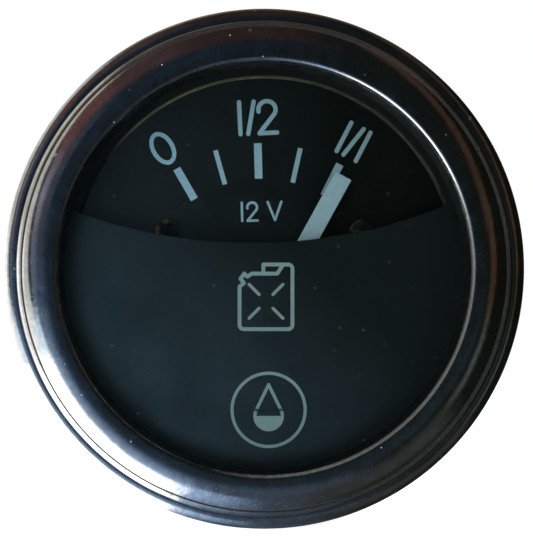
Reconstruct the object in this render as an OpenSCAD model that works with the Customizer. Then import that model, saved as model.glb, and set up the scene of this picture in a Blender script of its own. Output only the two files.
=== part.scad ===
// Panel fuel gauge for a 52 mm dashboard hole, with a two-coil moving-iron movement.
// Pieces are drawn facing +Z, with the panel's front face at z = 0, and upright() stands them up.

/* [Bezel] */
// Outside diameter of the plated bezel
bezel_d = 60; // [58:0.5:64]
// Distance of the wide band's crown from the bezel's edge
crown_inset = 5.2; // [5.1:0.05:5.3]
// Width of the flat ring inside the crown
crown_flat = 0.65; // [0.5:0.05:0.8]
// Radius of the lip, which rolls in and down from the flat ring
lip_roll_r = 0.5; // [0.4:0.05:0.55]
// Radius of the wide band's rounded section, outside the crown
band_r = 4; // [3.9:0.05:4.2]
// Height of the crown above the glass
crown_rise = 1.3; // [1.2:0.05:1.5]
// Thickness of the bezel's sheet
bezel_t = 0.7; // [0.5:0.05:0.8]
// Distance of the groove outside the wide band from the bezel's edge
groove_inset = 2.1; // [2.05:0.05:2.2]
// Radius of the groove's section
groove_r = 0.12; // [0.1:0.02:0.16]
// Radius of the ridge between the groove and the outer step
ridge_r = 1.5; // [1.3:0.05:1.8]
// Height of the outer step above the panel
step_h = 2.1; // [2:0.05:2.4]
// Radius of the outer step's rounded shoulder
shoulder_r = 1.4; // [1.3:0.05:1.45]
// Thickness of the edge that is folded behind the case's flange
fold_t = 0.6; // [0.4:0.05:0.8]
// Gap between the folded edge, which seats on the panel, and the case
fold_gap = 1.2; // [0.8:0.1:1.7]

/* [Case] */
// Width of the bezel outside the case, where it covers the edge of the panel's hole
panel_cover = 4; // [3.8:0.1:4.5]
// Thickness of the case's sheet
case_t = 0.8; // [0.6:0.1:1]
// Depth of the case behind the panel's front face
case_depth = 34; // [32:0.5:40]
// Gap between the case's front flange and the bezel's wall
flange_gap = 0.4; // [0.3:0.1:1]
// Radius of the case's rear corner
case_corner_r = 2; // [1.2:0.2:3]
// Number of tongues that carry the dial
tongue_count = 3; // [3:1:6]
// Width of one dial tongue
tongue_w = 3; // [2:0.5:5]
// Length of one dial tongue, inwards from the wall
tongue_l = 1.1; // [0.8:0.1:1.6]

/* [Glass and rings] */
// Reach of the glass under the bezel's lip
glass_lap = 2.65; // [2.2:0.05:2.75]
// Thickness of the glass
glass_t = 1.5; // [1.2:0.1:2]
// Thickness of the glass ring's sheet
ring_t = 0.4; // [0.3:0.05:0.6]
// Depth of the mask's face behind the glass
mask_sink = 2.3; // [1.6:0.1:3]
// Inward slope of the glass ring, from the lip to the mask
ring_slope = 0.55; // [0.35:0.05:0.85]
// Step from the glass ring in to the dial ring
dial_ring_step = 0.8; // [0.5:0.1:1]
// Width of the sloping foot of the dial ring
ring_foot = 0.25; // [0.15:0.05:0.6]

/* [Dial and mask] */
// Thickness of the dial plate
dial_t = 0.8; // [0.5:0.1:1]
// Room for the pointer between mask and dial
pointer_room = 2.1; // [2:0.1:3]
// Thickness of the mask
mask_t = 0.6; // [0.4:0.1:0.8]
// Reach of the mask under the glass ring
mask_lap = 1.1; // [0.7:0.1:1.2]
// Height of the middle of the mask's edge above the gauge's axis
mask_edge_y = 2.95; // [2:0.05:4]
// Radius of the mask's curved edge
mask_edge_r = 60; // [50:1:70]
// Shift of the mask's curved edge, to the left
mask_edge_left = 1.4; // [0:0.1:2]
// Distance of each dial screw from the middle
dial_screw_x = 11.25; // [10:0.05:12]
// Height of the dial screws above the gauge's axis
dial_screw_y = 4.25; // [3.5:0.05:4.5]
// Radius of a dial screw's head
dial_screw_head_r = 1.4; // [1.3:0.1:1.8]
// Width of the dial's light window
light_window_w = 17; // [12:1:20]
// Height of the dial's light window
light_window_h = 7; // [4:0.5:8]

/* [Scale] */
// Drop of the pointer's pivot below the gauge's axis
pivot_drop = 5.9; // [5.4:0.1:6.4]
// Angle from the middle mark to either end mark
sweep_deg = 28.4; // [26:0.2:30]
// Length of the marks
mark_l = 4.1; // [3.5:0.1:5]
// Gap between the marks and the figures
mark_gap = 1.15; // [0.9:0.05:2]
// Shift of the end marks, towards the pivot
end_mark_shift = 0.3; // [0:0.05:0.5]
// Width of the heavy marks
heavy_mark_w = 0.9; // [0.6:0.1:1.4]
// Width of the light marks
light_mark_w = 0.55; // [0.3:0.05:0.8]
// Height of the figures
figure_h = 3.7; // [3:0.1:4.2]
// Width of the pen that draws the figures
figure_pen = 0.5; // [0.3:0.02:0.6]
// Gap between the middle figures and the dial ring's foot
figure_gap = 2.9; // [2.7:0.05:3.5]
// Turn of the printed scale on its plate, anticlockwise
print_turn = 1.6; // [0:0.1:3]
// Shift of the printed scale on its plate, to the left
print_left = 0.2; // [0:0.05:0.4]
// Shift of the printed scale on its plate, upwards
print_up = 0.25; // [0:0.05:0.5]
// Further turn of the middle figures
half_turn = 1.2; // [0:0.1:4]
// Thickness of the printed ink
ink_t = 0.05; // [0.04:0.01:0.1]

/* [Mask print] */
// Width of the fuel can sign
can_w = 6.1; // [5:0.1:7]
// Height of the can's body
can_h = 6.4; // [5:0.1:7]
// Height of the can's handle
handle_h = 1.05; // [0.8:0.05:1.4]
// Width of the pen that draws the can
can_pen = 0.44; // [0.3:0.02:0.6]
// Drop of the can's middle below the gauge's axis
can_drop = 3.8; // [3.6:0.1:5]
// Diameter of the ring sign
emblem_d = 8.8; // [7:0.1:9.5]
// Width of the pen that draws the ring sign
emblem_pen = 0.36; // [0.3:0.02:0.5]
// Gap between the ring sign and the glass ring
emblem_gap = 2.4; // [1.7:0.1:3.7]

/* [Pointer] */
// Gap between the pointer's tip and the figures' side of the marks
pointer_short = 1.2; // [0.8:0.1:3.2]
// Width of the pointer's blade
pointer_w = 2.1; // [1.4:0.1:2.6]
// Thickness of the pointer's blade
pointer_t = 0.3; // [0.2:0.05:0.4]
// Width of the pointer's tail
tail_w = 1.6; // [1.2:0.1:2]
// Reach of the tail from the pivot
tail_l = 7; // [6.4:0.1:7.4]
// Radius of the counterweight
counterweight_r = 1.6; // [1.2:0.1:1.8]
// Thickness of the counterweight
counterweight_t = 0.7; // [0.4:0.1:0.8]
// Angle of the pointer at rest, clockwise from upright
pointer_rest_deg = 28.8; // [20:0.2:29]
// Angle from upright to either stop
stop_deg = 32; // [30.6:0.2:34]

/* [Movement] */
// Diameter of the spindle
spindle_d = 1; // [0.8:0.1:1.2]
// Length of the posts behind the dial
post_l = 2.6; // [2.4:0.1:3]
// Thickness of the bearing plates
plate_t = 1; // [0.8:0.1:1.2]
// Length of the pillars between the bearing plates
pillar_l = 12.8; // [12.4:0.2:14]
// Radius of the pillars
pillar_r = 1.6; // [1.4:0.1:1.8]
// Angle of each coil from upright
coil_deg = 50; // [48:1:54]
// Distance from the spindle to the pole faces
pole_r = 5.6; // [5.4:0.1:6]
// Gap between the armature and the pole faces
air_gap = 0.8; // [0.5:0.1:1]
// Radius of the bobbins' end flanges
bobbin_r = 4.6; // [4:0.1:4.8]
// Length of a bobbin
bobbin_l = 9; // [8:0.5:9.5]
// Depth of the copper winding
winding_t = 1.8; // [1:0.1:1.9]
// Radius of the coils' iron cores
core_r = 1.8; // [1.4:0.1:1.9]
// Thickness of the yoke plates
yoke_t = 1.2; // [1:0.1:1.6]
// Radius of the stop arm's pins from the spindle
stop_pin_ring_r = 4.5; // [4:0.1:5]
// Width of the resistor card
card_w = 16; // [14:0.5:18]

/* [Rear fittings] */
// Gap between a clamp stud's head and the inside of the case's wall
stud_gap = 3.2; // [2.2:0.1:4.2]
// Diameter of the clamp studs
stud_d = 4; // [3:0.5:4]
// Reach of the clamp studs behind the case
stud_reach = 16.5; // [16:0.5:20]
// Width of the clamp bridge
bridge_w = 14; // [10:0.5:14]
// Thickness of the clamp bridge
bridge_t = 1.5; // [1:0.1:2]
// Gap between the bridge's feet and the panel's front face, as stored
foot_gap = 5; // [4.6:0.1:5.5]
// Gap between the case's back and the bridge, as stored
bridge_stand = 6; // [5.6:0.1:6.5]
// Clearance between the bridge's legs and the case
leg_clear = 1; // [0.8:0.1:1.4]
// Diameter of the knurled nuts
knob_d = 10; // [9:0.5:12]
// Height of the knurled nuts
knob_h = 5; // [4:0.5:5]
// Number of knurls on a nut
knurl_count = 24; // [16:2:30]
// Distance of each blade terminal from the middle
terminal_x = 9; // [8.8:0.2:10]
// Height of the blade terminals above the axis
terminal_y = 13; // [12.6:0.2:14]
// Width of a terminal blade
blade_w = 6.3; // [4.8:0.1:6.4]
// Thickness of a terminal blade
blade_t = 0.8; // [0.5:0.1:0.8]
// Length of a terminal blade
blade_l = 8; // [7:0.5:9]
// Gap between the lamp's hole and the inside of the case's wall
lamp_gap = 2.9; // [2.6:0.1:3]
// Diameter of the lamp holder's hole in the case
lamp_hole_d = 12; // [11.4:0.2:12.2]

/* [Hidden] */
$fn = 96;

// Small running and assembly clearances
slip = 0.05;
run_clear = 0.03;
tiny = 0.01;
far = 100;

// Radii that the pieces share
bezel_r = bezel_d / 2;
crown_ring_r = bezel_r - crown_inset;
lip_ring_r = crown_ring_r - crown_flat;
window_r = lip_ring_r - lip_roll_r;
groove_ring_r = bezel_r - groove_inset;
case_r = bezel_r - panel_cover;
case_bore_r = case_r - case_t;
fold_r = case_r + fold_gap;
flange_r = bezel_r - bezel_t - flange_gap;
glass_r = window_r + glass_lap;
mask_ring_r = window_r - ring_slope;
mask_r = mask_ring_r + mask_lap;
dial_ring_r = mask_ring_r - dial_ring_step;
ring_fit = 0.2;
ring_outer_r = case_bore_r - ring_fit;
spindle_r = spindle_d / 2;
stud_r = stud_d / 2;
lamp_hole_r = lamp_hole_d / 2;

// Heights through the stack, from the bezel to the case's back
flange_back_z = fold_t;
flange_front_z = flange_back_z + case_t;
glass_back_z = flange_front_z + ring_t;
glass_front_z = glass_back_z + glass_t;
crown_z = glass_front_z + crown_rise;
band_z = crown_z - band_r;
mask_front_z = glass_back_z - mask_sink;
mask_back_z = mask_front_z - mask_t;
dial_front_z = mask_back_z - pointer_room;
dial_back_z = dial_front_z - dial_t;
plate_front_z = dial_back_z - post_l;
plate_back_z = plate_front_z - plate_t;
rear_plate_front_z = plate_back_z - pillar_l;
rear_plate_back_z = rear_plate_front_z - plate_t;
case_back_z = -case_depth;
case_floor_z = case_back_z + case_t;

// Bezel section
seal_t = 0.24;
seal_w = 1.7;
seal_in_r = window_r + bezel_t / 2;
lip_back_r = window_r + bezel_t;
lip_bottom_z = glass_front_z + seal_t;
lip_roll_z = crown_z - lip_roll_r;
rear_edge_r = 0.4;
// The ridge's round runs through the groove and the top of the outer step's shoulder
groove = [groove_ring_r, band_z + sqrt(pow(band_r, 2) - pow(groove_ring_r - crown_ring_r, 2))];
ridge_foot = [bezel_r - shoulder_r, step_h];
ridge_run = ridge_foot - groove;
ridge_sag = sqrt(pow(ridge_r, 2) - pow(norm(ridge_run) / 2, 2)) / norm(ridge_run);
ridge_at = (groove + ridge_foot) / 2 + ridge_sag * [ridge_run[1], -ridge_run[0]];

// Scale and signs
figure_r = dial_ring_r - ring_foot - figure_gap - figure_h / 2 + pivot_drop;
mark_outer_r = figure_r - figure_h / 2 - mark_gap;
mark_inner_r = mark_outer_r - mark_l;
emblem_drop = mask_ring_r - emblem_d / 2 - emblem_gap;
can_shift = 0.15;
emblem_shift = 0.45;

// Pointer stack
pointer_l = mark_outer_r - pointer_short;
pointer_stand = 0.75;
blade_back_z = dial_front_z + pointer_stand;
blade_front_z = blade_back_z + pointer_t;
hub_r = 1.6;
hub_boss_r = 0.9;
hub_collar_t = 0.5;
hub_boss_rise = 0.3;
hub_disc_r = 2;
tail_pin_r = 0.4;
spindle_tip_z = blade_front_z + hub_boss_rise + 0.05;
counterweight_at = tail_l - counterweight_r;
pivot = [0, -pivot_drop, 0];

// Movement
screw_r = 1;
bush_r = 1.5;
bush_flange_r = 2.2;
bush_flange_t = 0.6;
coil_z = (plate_back_z + rear_plate_front_z) / 2;
armature_r = pole_r - air_gap;
armature_w = 2.4;
armature_h = 6;
armature_hub_r = 1.7;
armature_hub_l = 0.8;
shoe_w = 6.8;
shoe_h = 9;
shoe_back = 1.2;
bobbin_from = pole_r + shoe_back;
bobbin_to = bobbin_from + bobbin_l;
bobbin_flange_t = 0.8;
bobbin_tube_t = 0.5;
winding_from_r = core_r + slip + bobbin_tube_t;
yoke_w = 7.2;
tenon_r = 1.2;
pillar_low_x = 12;
pillar_low_y = -8;
pillar_top_y = 7.5;
pillar_spots = [[-pillar_low_x, pillar_low_y], [pillar_low_x, pillar_low_y], [0, pillar_top_y]];
plate_low_x = 14.5;
plate_low_y = -10.2;
plate_wide_x = 17.5;
plate_wide_y = 2;
plate_top_x = 11;
plate_top_y = 10;
post_r = 2;
pillar_screw_l = 4;
pillar_screw_head_r = 1.8;
pillar_screw_head_t = 0.7;
stop_arm_w = 1;
stop_arm_t = 0.7;
stop_arm_drop = 1.6;
stop_arm_z = dial_back_z - stop_arm_drop;
stop_arm_hub_r = 1.3;
stop_pin_r = 0.5;
stop_pin_deg = stop_deg + asin((stop_arm_w / 2 + stop_pin_r + run_clear) / stop_pin_ring_r);
card_h = 6;
card_t = 0.8;
card_stand = 2;
card_y = 3.5;
card_front_z = rear_plate_back_z - card_stand;
card_rivet_inset = 1.6;
card_rivet_x = card_w / 2 - card_rivet_inset;
card_rivet_r = 0.8;
card_collar_r = 1.4;
card_head_r = 1.3;
card_head_t = 0.5;
card_bare_l = 3.5;
card_wrap_t = 0.5;
wire_r = 0.35;
wire_sides = 10;
wire_steps = 16;

// Rear fittings
insulator_r = 4.5;
insulator_t = 1.2;
bush_hole_r = 3;
washer_t = 1;
rivet_r = 1.5;
rivet_head_r = 2.6;
rivet_head_t = 0.7;
blade_foot_low = 3.2;
blade_foot_l = 6.9;
blade_hole_r = 0.9;
blade_hole_at = 4.96;
blade_tip_cut = 1;
terminal_base_z = case_back_z - insulator_t;
earth_y = 14;
stud_head_t = 2;
hex_r = 4;
stud_x = case_bore_r - hex_r - stud_gap;
stud_hole_r = stud_r + 0.3;
locknut_t = 2;
web_front_z = case_back_z - bridge_stand;
web_back_z = web_front_z - bridge_t;
leg_inner_x = case_r + leg_clear;
leg_outer_x = leg_inner_x + bridge_t;
bend_r = 2.5;
spring_washer_t = 1;
knob_front_z = web_back_z - spring_washer_t;
knob_neck_r = 3.4;
knob_neck_h = 1.2;
knurl_r = 0.4;
lamp_drop = case_bore_r - lamp_hole_r - lamp_gap;
holder_r = lamp_hole_r - slip;
holder_wall = 0.7;
holder_bore_r = holder_r - holder_wall;
holder_flange_r = 7.4;
holder_flange_t = 0.8;
holder_reach = 11;
holder_front_z = case_floor_z + holder_reach;
holder_slit_w = 0.8;
holder_slit_l = 7;
holder_back_z = case_back_z - slip - holder_flange_t;
insulator_disc_t = 1.2;
contact_r = 2.4;
contact_t = 0.4;
contact_stem_r = 1.15;
bulb_r = 4.5;
bulb_base_l = 10;
bulb_tip_l = 0.8;
bulb_tip_z = holder_back_z + contact_t;
bulb_base_back_z = bulb_tip_z + bulb_tip_l;
bulb_base_front_z = bulb_base_back_z + bulb_base_l;
bulb_glass_l = 9;
bulb_wall = 0.5;
bulb_tip_r = 1.6;
bulb_pin_r = 0.7;
bulb_pin_at = 3;
bulb_socket_l = 3;

// Stands a piece that was drawn facing +Z upright, facing -Y
module upright() {
    rotate([90, 0, 0]) children();
}

// A plain round, from z0 up to z1
module rod(r, z0, z1) {
    translate([0, 0, z0]) cylinder(r = r, h = z1 - z0);
}

// A plain tube, from z0 up to z1
module tube(r_out, r_in, z0, z1) {
    difference() {
        rod(r_out, z0, z1);
        rod(r_in, z0 - tiny, z1 + tiny);
    }
}

// A flat sheet cut to its children's outline, from z0 up to z1
module sheet(z0, z1) {
    translate([0, 0, z0]) linear_extrude(height = z1 - z0) children();
}

// One copy at x and one at -x
module both_sides(x, y = 0) {
    for (side = [-1, 1]) translate([side * x, y, 0]) children();
}

// A pen stroke with round ends
module stroke(from, to, pen) {
    run = to - from;
    translate(from) circle(d = pen);
    translate(to) circle(d = pen);
    translate(from) rotate(atan2(run[1], run[0])) translate([0, -pen / 2]) square([norm(run), pen]);
}

// Pen strokes from each point to the next
module strokes(points, pen) {
    for (i = [0 : len(points) - 2]) stroke(points[i], points[i + 1], pen);
}

// An arc of a pen stroke about the origin, from one angle to another under half a turn away
module arc_stroke(r, from, to, pen) {
    reach = 2 * r;
    intersection() {
        difference() {
            circle(r = r + pen / 2);
            circle(r = r - pen / 2);
        }
        polygon([
            [0, 0],
            reach * [cos(from), sin(from)],
            reach * [cos((from + to) / 2), sin((from + to) / 2)],
            reach * [cos(to), sin(to)]
        ]);
    }
    for (a = [from, to]) translate(r * [cos(a), sin(a)]) circle(d = pen);
}

module place_at(spots) {
    for (spot = spots) translate([spot[0], spot[1], 0]) children();
}

// Bezel, glass and rings

module stepped_rim() {
    shoulder_at = [bezel_r - shoulder_r, step_h - shoulder_r];
    translate([fold_r, 0]) square([shoulder_at[0] - fold_r, step_h]);
    translate([fold_r, rear_edge_r]) square([bezel_r - fold_r, shoulder_at[1] - rear_edge_r]);
    translate([fold_r, 0]) square([bezel_r - rear_edge_r - fold_r, shoulder_at[1]]);
    translate(shoulder_at) intersection() {
        circle(r = shoulder_r);
        square(shoulder_r);
    }
    translate([bezel_r - rear_edge_r, rear_edge_r]) circle(r = rear_edge_r);
}

module bezel_section() {
    difference() {
        union() {
            intersection() {
                translate([crown_ring_r, band_z]) circle(r = band_r);
                translate([crown_ring_r, 0]) square([groove_ring_r - crown_ring_r, crown_z]);
            }
            intersection() {
                translate([lip_ring_r, lip_roll_z]) circle(r = lip_roll_r);
                translate([window_r, lip_roll_z]) square([lip_roll_r, lip_roll_r]);
            }
            translate([lip_ring_r, lip_roll_z]) square([crown_flat, lip_roll_r]);
            translate([window_r, lip_bottom_z])
                square([lip_roll_r + crown_flat, lip_roll_z - lip_bottom_z]);
            intersection() {
                translate(ridge_at) circle(r = ridge_r);
                translate([groove_ring_r, step_h - tiny]) square([ridge_r, groove[1]]);
            }
            stepped_rim();
        }
        intersection() {
            translate([crown_ring_r, band_z]) circle(r = band_r - bezel_t);
            translate([lip_back_r, -tiny]) square([band_r, crown_z]);
        }
        translate(groove) circle(r = groove_r);
        translate([0, -tiny]) square([fold_r, flange_back_z + tiny]);
        translate([0, flange_back_z]) square([bezel_r - bezel_t, case_t + slip]);
        translate([0, flange_back_z]) square([glass_r + slip, glass_front_z + slip - flange_back_z]);
    }
    intersection() {
        translate([fold_r, 0]) square([bezel_r - fold_r, fold_t]);
        union() {
            stepped_rim();
            translate([fold_r, 0]) square([bezel_r - rear_edge_r - fold_r, fold_t]);
        }
    }
}

module bezel() {
    color("silver") rotate_extrude() bezel_section();
}

module glass() {
    color("lightblue", 0.3) rod(glass_r, glass_back_z, glass_front_z);
}

module glass_seal() {
    color("dimgray") tube(seal_in_r + seal_w, seal_in_r, glass_front_z, lip_bottom_z);
}

module glass_ring() {
    wall_top_r = window_r;
    foot_z = mask_front_z + ring_t;
    color("black") rotate_extrude() polygon([
        [wall_top_r, glass_back_z],
        [glass_r, glass_back_z],
        [glass_r, flange_front_z],
        [wall_top_r + ring_t, flange_front_z],
        [mask_ring_r + ring_t, foot_z],
        [ring_outer_r, foot_z],
        [ring_outer_r, mask_front_z],
        [mask_ring_r, mask_front_z]
    ]);
}

module mask_outline(r) {
    difference() {
        circle(r = r);
        translate([-mask_edge_left, mask_edge_y + mask_edge_r]) circle(r = mask_edge_r);
    }
}

module dial_ring() {
    color("black") difference() {
        rotate_extrude() polygon([
            [dial_ring_r, mask_front_z],
            [ring_outer_r, mask_front_z],
            [ring_outer_r, dial_front_z],
            [dial_ring_r - ring_foot, dial_front_z],
            [dial_ring_r, dial_front_z + ring_foot]
        ]);
        sheet(mask_back_z, mask_front_z + tiny) mask_outline(mask_r + slip);
    }
}

// Mask, dial and print

module mask() {
    color([0.1, 0.12, 0.13]) sheet(mask_back_z, mask_front_z) mask_outline(mask_r);
}

// Fuel can sign, its body's middle at the origin
module can_sign() {
    half_w = can_w / 2;
    half_h = can_h / 2;
    corner = 0.5;
    inner_w = half_w - corner;
    handle_top = half_h + handle_h;
    handle_left = -0.05 * can_w;
    handle_foot = handle_left + 1.6;
    spout_foot = half_h - 1.5;
    shoulder = [1.4 - half_w, half_h];
    cross_from = 0.8;
    cross_to = 1.95;
    // body and handle, from the spout's foot round to the handle's front
    stroke([-half_w, spout_foot], [-half_w, corner - half_h], can_pen);
    translate([-inner_w, corner - half_h]) arc_stroke(corner, 180, 270, can_pen);
    stroke([-inner_w, -half_h], [inner_w, -half_h], can_pen);
    translate([inner_w, corner - half_h]) arc_stroke(corner, 270, 360, can_pen);
    stroke([half_w, corner - half_h], [half_w, handle_top - corner], can_pen);
    translate([inner_w, handle_top - corner]) arc_stroke(corner, 0, 90, can_pen);
    strokes([[inner_w, handle_top], [handle_left, handle_top], [handle_left, half_h]], can_pen);
    // top of the body and the handle's foot
    strokes([shoulder, [handle_foot, half_h], [handle_foot + 0.7, handle_top]], can_pen);
    // notched spout
    strokes([
        shoulder,
        shoulder + [-0.5, -0.35],
        shoulder + [-0.85, 0],
        [0.12 - half_w, half_h - 0.58],
        [0.5 - half_w, half_h - 1.1],
        [-half_w, spout_foot]
    ], can_pen);
    // pressed cross on the can's side
    for (x = [-1, 1], y = [-1, 1]) stroke(cross_from * [x, y], cross_to * [x, y], can_pen * 0.8);
}

// Part-filled fuel drop in a plain ring, middle at the origin
module ring_sign() {
    drop_r = emblem_d * 0.18;
    drop_y = -emblem_d * 0.08;
    peak_y = emblem_d * 0.33;
    side_deg = asin(drop_r / (peak_y - drop_y));
    difference() {
        circle(d = emblem_d);
        circle(d = emblem_d - 2 * emblem_pen);
    }
    translate([0, drop_y]) {
        arc_stroke(drop_r, 180 - side_deg, 270, emblem_pen);
        arc_stroke(drop_r, 270, 360 + side_deg, emblem_pen);
        intersection() {
            circle(r = drop_r);
            translate([-drop_r, -drop_r]) square([2 * drop_r, drop_r]);
        }
    }
    for (side = [-1, 1]) {
        foot = [side * drop_r * cos(side_deg), drop_y + drop_r * sin(side_deg)];
        stroke([0, peak_y], foot, emblem_pen);
    }
}

module mask_print() {
    color([0.5, 0.62, 0.62]) sheet(mask_front_z, mask_front_z + ink_t) {
        translate([can_shift, -can_drop]) can_sign();
        translate([emblem_shift, -emblem_drop]) ring_sign();
    }
}

module dial_plate() {
    color([0.06, 0.07, 0.08]) difference() {
        rod(ring_outer_r, dial_back_z, dial_front_z);
        translate(pivot) rod(spindle_r + 0.7, dial_back_z - tiny, dial_front_z + tiny);
        both_sides(dial_screw_x, dial_screw_y) rod(screw_r + slip, dial_back_z - tiny, dial_front_z + tiny);
        light_r = light_window_h / 2;
        sheet(dial_back_z - tiny, dial_front_z + tiny) translate([0, -lamp_drop]) {
            both_sides(light_window_w / 2 - light_r) circle(r = light_r);
            square([light_window_w - 2 * light_r, light_window_h], center = true);
        }
    }
}

// A mark of the scale: at is -1 for empty, 0 for half and 1 for full
module mark(at, width) {
    shift = end_mark_shift * at * at;
    rotate(-at * sweep_deg) translate([-width / 2, mark_inner_r - shift])
        square([width, mark_outer_r - mark_inner_r]);
}

module figure_one() {
    stroke([0, -figure_h / 2], [0, figure_h / 2], figure_pen);
}

module figure_slash(lean) {
    stroke([-lean, -figure_h / 2], [lean, figure_h / 2], figure_pen);
}

module figure_zero() {
    half_w = figure_h * 0.3;
    half_h = figure_h * 0.485;
    difference() {
        resize([2 * half_w + figure_pen, 2 * half_h + figure_pen]) circle(r = half_h);
        resize([2 * half_w - figure_pen, 2 * half_h - figure_pen]) circle(r = half_h);
    }
}

module figure_two(height) {
    bend_r = height * 0.27;
    top = height / 2 - bend_r;
    meet = -28;
    translate([0, top]) {
        arc_stroke(bend_r, 90, 190, figure_pen);
        arc_stroke(bend_r, 20, 90, figure_pen);
        arc_stroke(bend_r, meet, 20, figure_pen);
    }
    strokes([
        [bend_r * cos(meet), top + bend_r * sin(meet)],
        [-bend_r, -height / 2],
        [bend_r * 1.05, -height / 2]
    ], figure_pen);
}

module at_scale(angle, r) {
    rotate(-angle) translate([0, r]) children();
}

module dial_print() {
    note_h = 2.1;
    note_r = 12.3;
    note_scale = note_h / figure_h;
    // how far the outer figures sit inside the middle ones, and half of each slash's run
    zero_drop = 0.45;
    full_drop = 0.25;
    half_lean = 0.4;
    full_lean = 0.36;
    color([0.55, 0.7, 0.74]) sheet(dial_front_z, dial_front_z + ink_t)
        translate([-print_left, print_up - pivot_drop]) rotate(print_turn) {
            for (at = [-1, 0, 1]) mark(at, heavy_mark_w);
            for (at = [-0.5, 0.5]) mark(at, light_mark_w);
            at_scale(-sweep_deg - 0.55, figure_r - zero_drop) figure_zero();
            at_scale(0, figure_r) rotate(half_turn) {
                translate([-2, 0]) figure_one();
                translate([-0.7, 0]) figure_slash(half_lean);
                translate([1.2, 0]) figure_two(figure_h);
            }
            at_scale(sweep_deg + 0.6, figure_r - full_drop) {
                translate([-1.25, 0]) figure_one();
                figure_slash(full_lean);
                translate([1.25, 0]) figure_one();
            }
            // supply voltage, in plain figures
            translate([0, note_r]) scale(note_scale) {
                translate([-3.6, 0]) figure_one();
                translate([-1.5, 0]) figure_two(figure_h);
                strokes([[1.7, figure_h / 2], [3.1, -figure_h / 2], [4.5, figure_h / 2]], figure_pen);
            }
        }
}

module slotted_head(r, z0, z1) {
    slot_w = r * 0.3;
    slot_d = (z1 - z0) * 0.45;
    difference() {
        rod(r, z0, z1);
        translate([-r - tiny, -slot_w / 2, z1 - slot_d]) cube([2 * r + 2 * tiny, slot_w, slot_d + tiny]);
    }
}

module dial_screws() {
    head_t = 0.9;
    color("goldenrod") both_sides(dial_screw_x, dial_screw_y) rotate(35) {
        slotted_head(dial_screw_head_r, dial_front_z, dial_front_z + head_t);
        rod(screw_r, plate_back_z + 0.1, dial_front_z + tiny);
    }
}

module dial_posts() {
    color("goldenrod") both_sides(dial_screw_x, dial_screw_y)
        tube(post_r, screw_r + slip, plate_front_z, dial_back_z);
}

// Pointer and spindle, turned to the pointer's rest

module on_spindle() {
    translate(pivot) rotate(-pointer_rest_deg) children();
}

module pointer() {
    color([0.75, 0.82, 0.86]) on_spindle() difference() {
        sheet(blade_back_z, blade_front_z) {
            translate([-pointer_w / 2, 0]) square([pointer_w, pointer_l]);
            circle(r = hub_disc_r);
            translate([-tail_w / 2, -tail_l]) square([tail_w, tail_l]);
        }
        rod(hub_boss_r, blade_back_z - tiny, blade_front_z + tiny);
        translate([0, -counterweight_at, 0]) rod(tail_pin_r, blade_back_z - tiny, blade_front_z + tiny);
    }
}

module pointer_hub() {
    color("goldenrod") on_spindle() difference() {
        union() {
            rod(hub_r, blade_back_z - hub_collar_t, blade_back_z);
            rod(hub_boss_r, blade_back_z - tiny, blade_front_z + hub_boss_rise);
        }
        rod(spindle_r, blade_back_z - hub_collar_t - tiny, blade_front_z + hub_boss_rise + tiny);
    }
}

module counterweight() {
    color("goldenrod") on_spindle() translate([0, -counterweight_at, 0]) {
        rod(counterweight_r, blade_front_z, blade_front_z + counterweight_t);
        rod(tail_pin_r, blade_back_z, blade_front_z + tiny);
    }
}

module spindle() {
    color("silver") on_spindle() rod(spindle_r, rear_plate_back_z + 0.2, spindle_tip_z);
}

module armature() {
    color("gray") on_spindle() difference() {
        union() {
            intersection() {
                rod(armature_r, coil_z - armature_h / 2, coil_z + armature_h / 2);
                translate([-armature_w / 2, -far / 2, -far / 2]) cube([armature_w, far, far]);
            }
            rod(armature_hub_r, coil_z - armature_h / 2 - armature_hub_l,
                coil_z + armature_h / 2 + armature_hub_l);
        }
        rod(spindle_r, -far, far);
    }
}

module stop_arm() {
    reach = stop_pin_ring_r + 0.4;
    color("goldenrod") on_spindle() difference() {
        sheet(stop_arm_z, stop_arm_z + stop_arm_t) {
            circle(r = stop_arm_hub_r);
            translate([-stop_arm_w / 2, -reach]) square([stop_arm_w, reach]);
        }
        rod(spindle_r, -far, far);
    }
}

module stop_pins() {
    color("silver") translate(pivot) for (side = [-1, 1]) rotate(side * stop_pin_deg)
        translate([0, -stop_pin_ring_r, 0]) rod(stop_pin_r, plate_back_z, stop_arm_z + stop_arm_t + 0.2);
}

// Movement frame

module plate_outline() {
    polygon([
        [-plate_low_x, plate_low_y],
        [plate_low_x, plate_low_y],
        [plate_wide_x, plate_wide_y],
        [plate_top_x, plate_top_y],
        [-plate_top_x, plate_top_y],
        [-plate_wide_x, plate_wide_y]
    ]);
}

module bearing_plate(z0) {
    z1 = z0 + plate_t;
    difference() {
        sheet(z0, z1) plate_outline();
        translate(pivot) rod(bush_r, z0 - tiny, z1 + tiny);
        place_at(pillar_spots) rod(screw_r + slip, z0 - tiny, z1 + tiny);
        children();
    }
}

module front_bearing_plate() {
    color("goldenrod") bearing_plate(plate_back_z) {
        both_sides(dial_screw_x, dial_screw_y) rod(screw_r, plate_back_z - tiny, plate_front_z + tiny);
        translate(pivot) for (side = [-1, 1]) rotate(side * stop_pin_deg)
            translate([0, -stop_pin_ring_r, 0]) rod(stop_pin_r, plate_back_z - tiny, plate_front_z + tiny);
    }
}

module rear_bearing_plate() {
    color("goldenrod") bearing_plate(rear_plate_back_z)
        both_sides(card_rivet_x, card_y)
            rod(card_rivet_r, rear_plate_back_z - tiny, rear_plate_front_z + tiny);
}

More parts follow.
